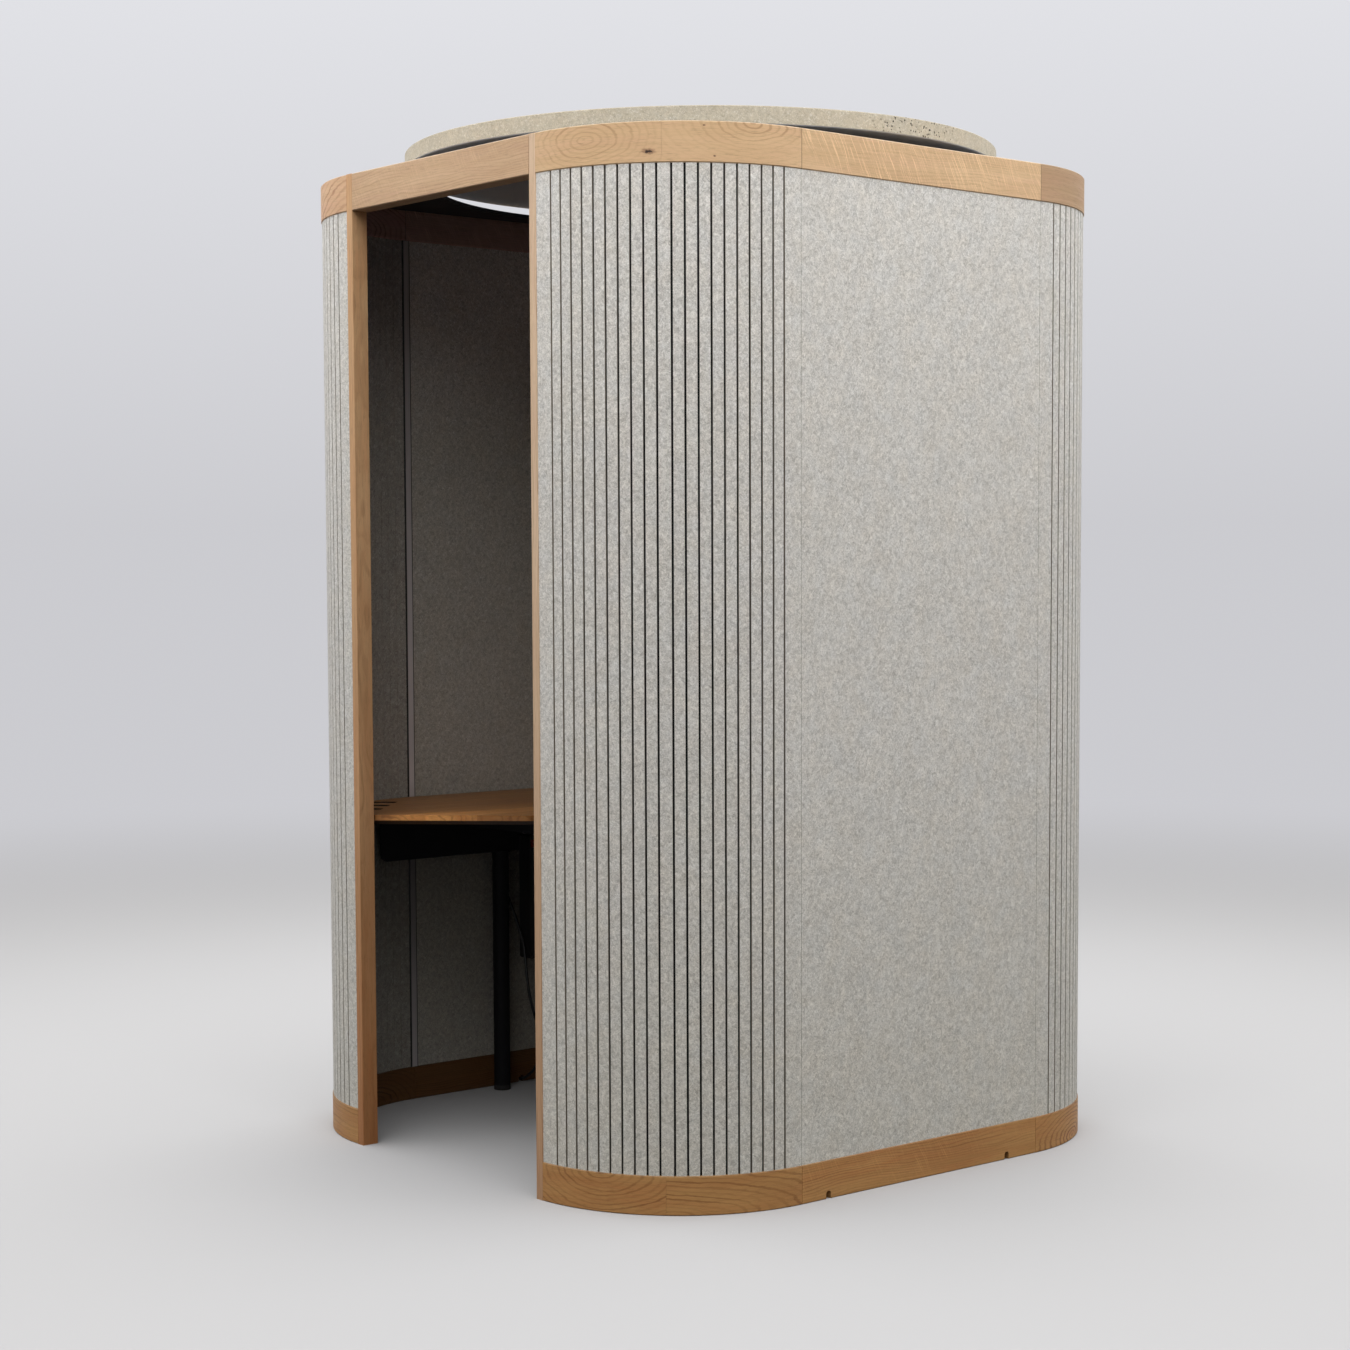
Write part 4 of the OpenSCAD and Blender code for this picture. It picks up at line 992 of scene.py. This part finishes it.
def blackBoard(name, spec):
    material, tree, shader = newMaterial(name)
    place = objectPlace(tree)
    fleck = noise(tree, place, 420.0, 4.0, 0.7)
    cloud = noise(tree, place, 7.0, 4.0, 0.6)
    color = blendColor(tree, span(tree, fleck, 0.55, 0.75, 0.0, 0.6), spec["color"], spec["fleck"])
    color = blendColor(tree, span(tree, cloud, 0.4, 0.8, 0.0, 0.3), color, spec["fleck"])
    tree.links.new(color, shader.inputs["Base Color"])
    tree.links.new(span(tree, cloud, 0.3, 0.7, 0.62, 0.80), shader.inputs["Roughness"])
    addBump(tree, shader, fleck, 0.2, 0.0005)
    return material


coreFinish = {"light": (0.46, 0.33, 0.20), "dark": (0.24, 0.15, 0.08)}


def chippedBoard(name, spec):
    material, tree, shader = newMaterial(name)
    place = objectPlace(tree)
    chips = cells(tree, stretch(tree, place, (1.0, 1.0, 2.4), (20, 35, 10)), 240.0)
    grit = noise(tree, place, 600.0, 3.0, 0.6)
    share = calc(tree, "MULTIPLY_ADD", chips, 0.7, calc(tree, "MULTIPLY", grit, 0.5))
    tree.links.new(
        blendColor(tree, span(tree, share, 0.25, 0.75), spec["light"], spec["dark"]),
        shader.inputs["Base Color"],
    )
    tree.links.new(span(tree, grit, 0.3, 0.7, 0.7, 0.9), shader.inputs["Roughness"])
    addBump(tree, shader, share, 0.4, 0.0008)
    return material


rubberFinish = {"color": (0.014, 0.014, 0.014), "dusty": (0.060, 0.058, 0.054)}


def mattRubber(name, spec):
    material, tree, shader = newMaterial(name)
    place = objectPlace(tree)
    dust = noise(tree, place, 60.0, 5.0, 0.65)
    color = blendColor(tree, span(tree, dust, 0.45, 0.8, 0.0, 0.55), spec["color"], spec["dusty"])
    tree.links.new(color, shader.inputs["Base Color"])
    tree.links.new(span(tree, dust, 0.3, 0.7, 0.72, 0.9), shader.inputs["Roughness"])
    addBump(tree, shader, noise(tree, place, 700.0, 3.0), 0.2, 0.0004)
    return material


sheathFinish = {"color": (0.012, 0.012, 0.013), "scuffed": (0.050, 0.049, 0.047)}


def leadSheath(name, spec):
    material, tree, shader = newMaterial(name)
    place = objectPlace(tree)
    scuffs = noise(tree, stretch(tree, place, (1.0, 1.0, 0.3)), 180.0, 4.0, 0.6)
    color = blendColor(tree, span(tree, scuffs, 0.55, 0.78, 0.0, 0.6), spec["color"], spec["scuffed"])
    tree.links.new(color, shader.inputs["Base Color"])
    tree.links.new(span(tree, scuffs, 0.3, 0.7, 0.38, 0.56), shader.inputs["Roughness"])
    addBump(tree, shader, scuffs, 0.1, 0.0003)
    return material


coreNodes = [f"core_{side}" for side in sides] + ["core_corners_front", "core_corners_back"]
blackPlastic = mouldedPlastic("blackPlastic", moulded)
blackRubber = mattRubber("blackRubber", rubberFinish)
blackSteel = paintedSteel("blackSteel", steelPaint)
paint(blackSteel, "desk_rail", "roof_spacers")
paint(blackSteel, "desk_arm_front", "desk_arm_back", "desk_leg_front", "desk_leg_back")
paint(blackPlastic, "power_unit_tray", "power_unit_lid", "mains_plug", "lead_gland")
paint(rockerPlastic("rockerRed", rockerFinish), "rocker_switch")
paint(brushedMetal("stripAluminium", anodised), "joint_strips")
paint(brushedMetal("screwSteel", blackened), "roof_bolts", "desk_screws", "power_unit_screws")
paint(blackBoard("blackBoard", boardFinish), "ceiling_board", "roof_disc_board")
paint(chippedBoard("coreBoard", coreFinish), *coreNodes)
paint(blackRubber, "leg_feet")
coilTie.data.materials.append(blackRubber)
supplyLead.data.materials.append(leadSheath("leadSheath", sheathFinish))
print("metal, plastic, board and rubber finished")


# studio

studio = {
    "floorSize": 60.0,
    "floorSeen": (0.44, 0.44, 0.45),
    "floorBounce": (0.030, 0.031, 0.033),
    "floorFade": (3.2, 9.0),        # metres from the booth over which the floor meets the backdrop
    "backdropLow": (0.60, 0.60, 0.63),
    "backdropHigh": (0.76, 0.765, 0.80),
    "skyTint": (1.0, 0.985, 0.96),
    "skyLow": 0.30,
    "skyHigh": 1.15,
    "skySpan": (0.0, 0.75),         # heights between which the light and the backdrop change
    "backdropSpan": (0.02, 0.22),
    "panels": 4,
    "panelAim": 1.2,
    "panelSize": 3.0,
    "panelHeight": 3.9,
    "panelPower": 62.0,
    "panelReach": 2.1,
}


def seenRays(tree):
    # camera, mirror and glass rays see the pale studio, the rest only light the booth
    path = tree.nodes.new("ShaderNodeLightPath")
    seen = calc(tree, "MAXIMUM", path.outputs["Is Camera Ray"], path.outputs["Is Glossy Ray"])
    return calc(tree, "MAXIMUM", seen, path.outputs["Is Transmission Ray"])


def layFloor(spec):
    shape = bmesh.new()
    bmesh.ops.create_grid(shape, x_segments=4, y_segments=4, size=spec["floorSize"] / 2)
    mesh = bpy.data.meshes.new("studioFloor")
    shape.to_mesh(mesh)
    shape.free()
    floor = bpy.data.objects.new("studioFloor", mesh)
    bpy.context.collection.objects.link(floor)
    material, tree, shader = newMaterial("paleFloor")
    seen = seenRays(tree)
    color = blendColor(tree, seen, spec["floorBounce"], spec["floorSeen"])
    tree.links.new(color, shader.inputs["Base Color"])
    shader.inputs["Roughness"].default_value = 0.9
    shader.inputs["Specular IOR Level"].default_value = 0.1
    # far off the floor takes the backdrop's colour, so that no horizon shows
    x, y = splitVector(tree, objectPlace(tree))[:2]
    away = calc(tree, "SQRT", calc(tree, "MULTIPLY_ADD", x, x, calc(tree, "MULTIPLY", y, y)))
    far = calc(tree, "MULTIPLY", span(tree, away, *spec["floorFade"], smooth=True), seen)
    glow = tree.nodes.new("ShaderNodeEmission")
    glow.inputs["Color"].default_value = (*spec["backdropLow"], 1)
    mixer = tree.nodes.new("ShaderNodeMixShader")
    tree.links.new(far, mixer.inputs[0])
    tree.links.new(shader.outputs[0], mixer.inputs[1])
    tree.links.new(glow.outputs[0], mixer.inputs[2])
    tree.links.new(mixer.outputs[0], tree.nodes["Material Output"].inputs["Surface"])
    mesh.materials.append(material)


def lightStudio(spec):
    world = bpy.data.worlds.new("studioWorld")
    bpy.context.scene.world = world
    world.use_nodes = True
    tree = world.node_tree
    tree.nodes.clear()
    direction = tree.nodes.new("ShaderNodeTexCoord").outputs["Generated"]
    height = splitVector(tree, direction)[2]
    sky = tree.nodes.new("ShaderNodeBackground")
    sky.inputs["Color"].default_value = (*spec["skyTint"], 1)
    strength = span(tree, height, *spec["skySpan"], spec["skyLow"], spec["skyHigh"], True)
    tree.links.new(strength, sky.inputs["Strength"])
    backdrop = tree.nodes.new("ShaderNodeBackground")
    rise = span(tree, height, *spec["backdropSpan"])
    color = blendColor(tree, rise, spec["backdropLow"], spec["backdropHigh"])
    tree.links.new(color, backdrop.inputs["Color"])
    mixer = tree.nodes.new("ShaderNodeMixShader")
    output = tree.nodes.new("ShaderNodeOutputWorld")
    tree.links.new(seenRays(tree), mixer.inputs[0])
    tree.links.new(sky.outputs[0], mixer.inputs[1])
    tree.links.new(backdrop.outputs[0], mixer.inputs[2])
    tree.links.new(mixer.outputs[0], output.inputs["Surface"])
    # broad soft panels hang round the booth, and light its walls from above
    aim = Vector((0, 0, spec["panelAim"]))
    for number in range(spec["panels"]):
        angle = math.radians(45 + 360 / spec["panels"] * number)
        data = bpy.data.lights.new(f"panel{number}", "AREA")
        data.shape = "SQUARE"
        data.size = spec["panelSize"]
        data.energy = spec["panelPower"]
        panel = bpy.data.objects.new(f"panel{number}", data)
        bpy.context.collection.objects.link(panel)
        place = Vector((math.cos(angle), math.sin(angle), 0)) * spec["panelReach"]
        place.z = spec["panelHeight"]
        panel.location = place
        panel.rotation_euler = (aim - place).to_track_quat("-Z", "Y").to_euler()


layFloor(studio)
lightStudio(studio)
bpy.context.scene.view_settings.view_transform = "Standard"
print("studio set")
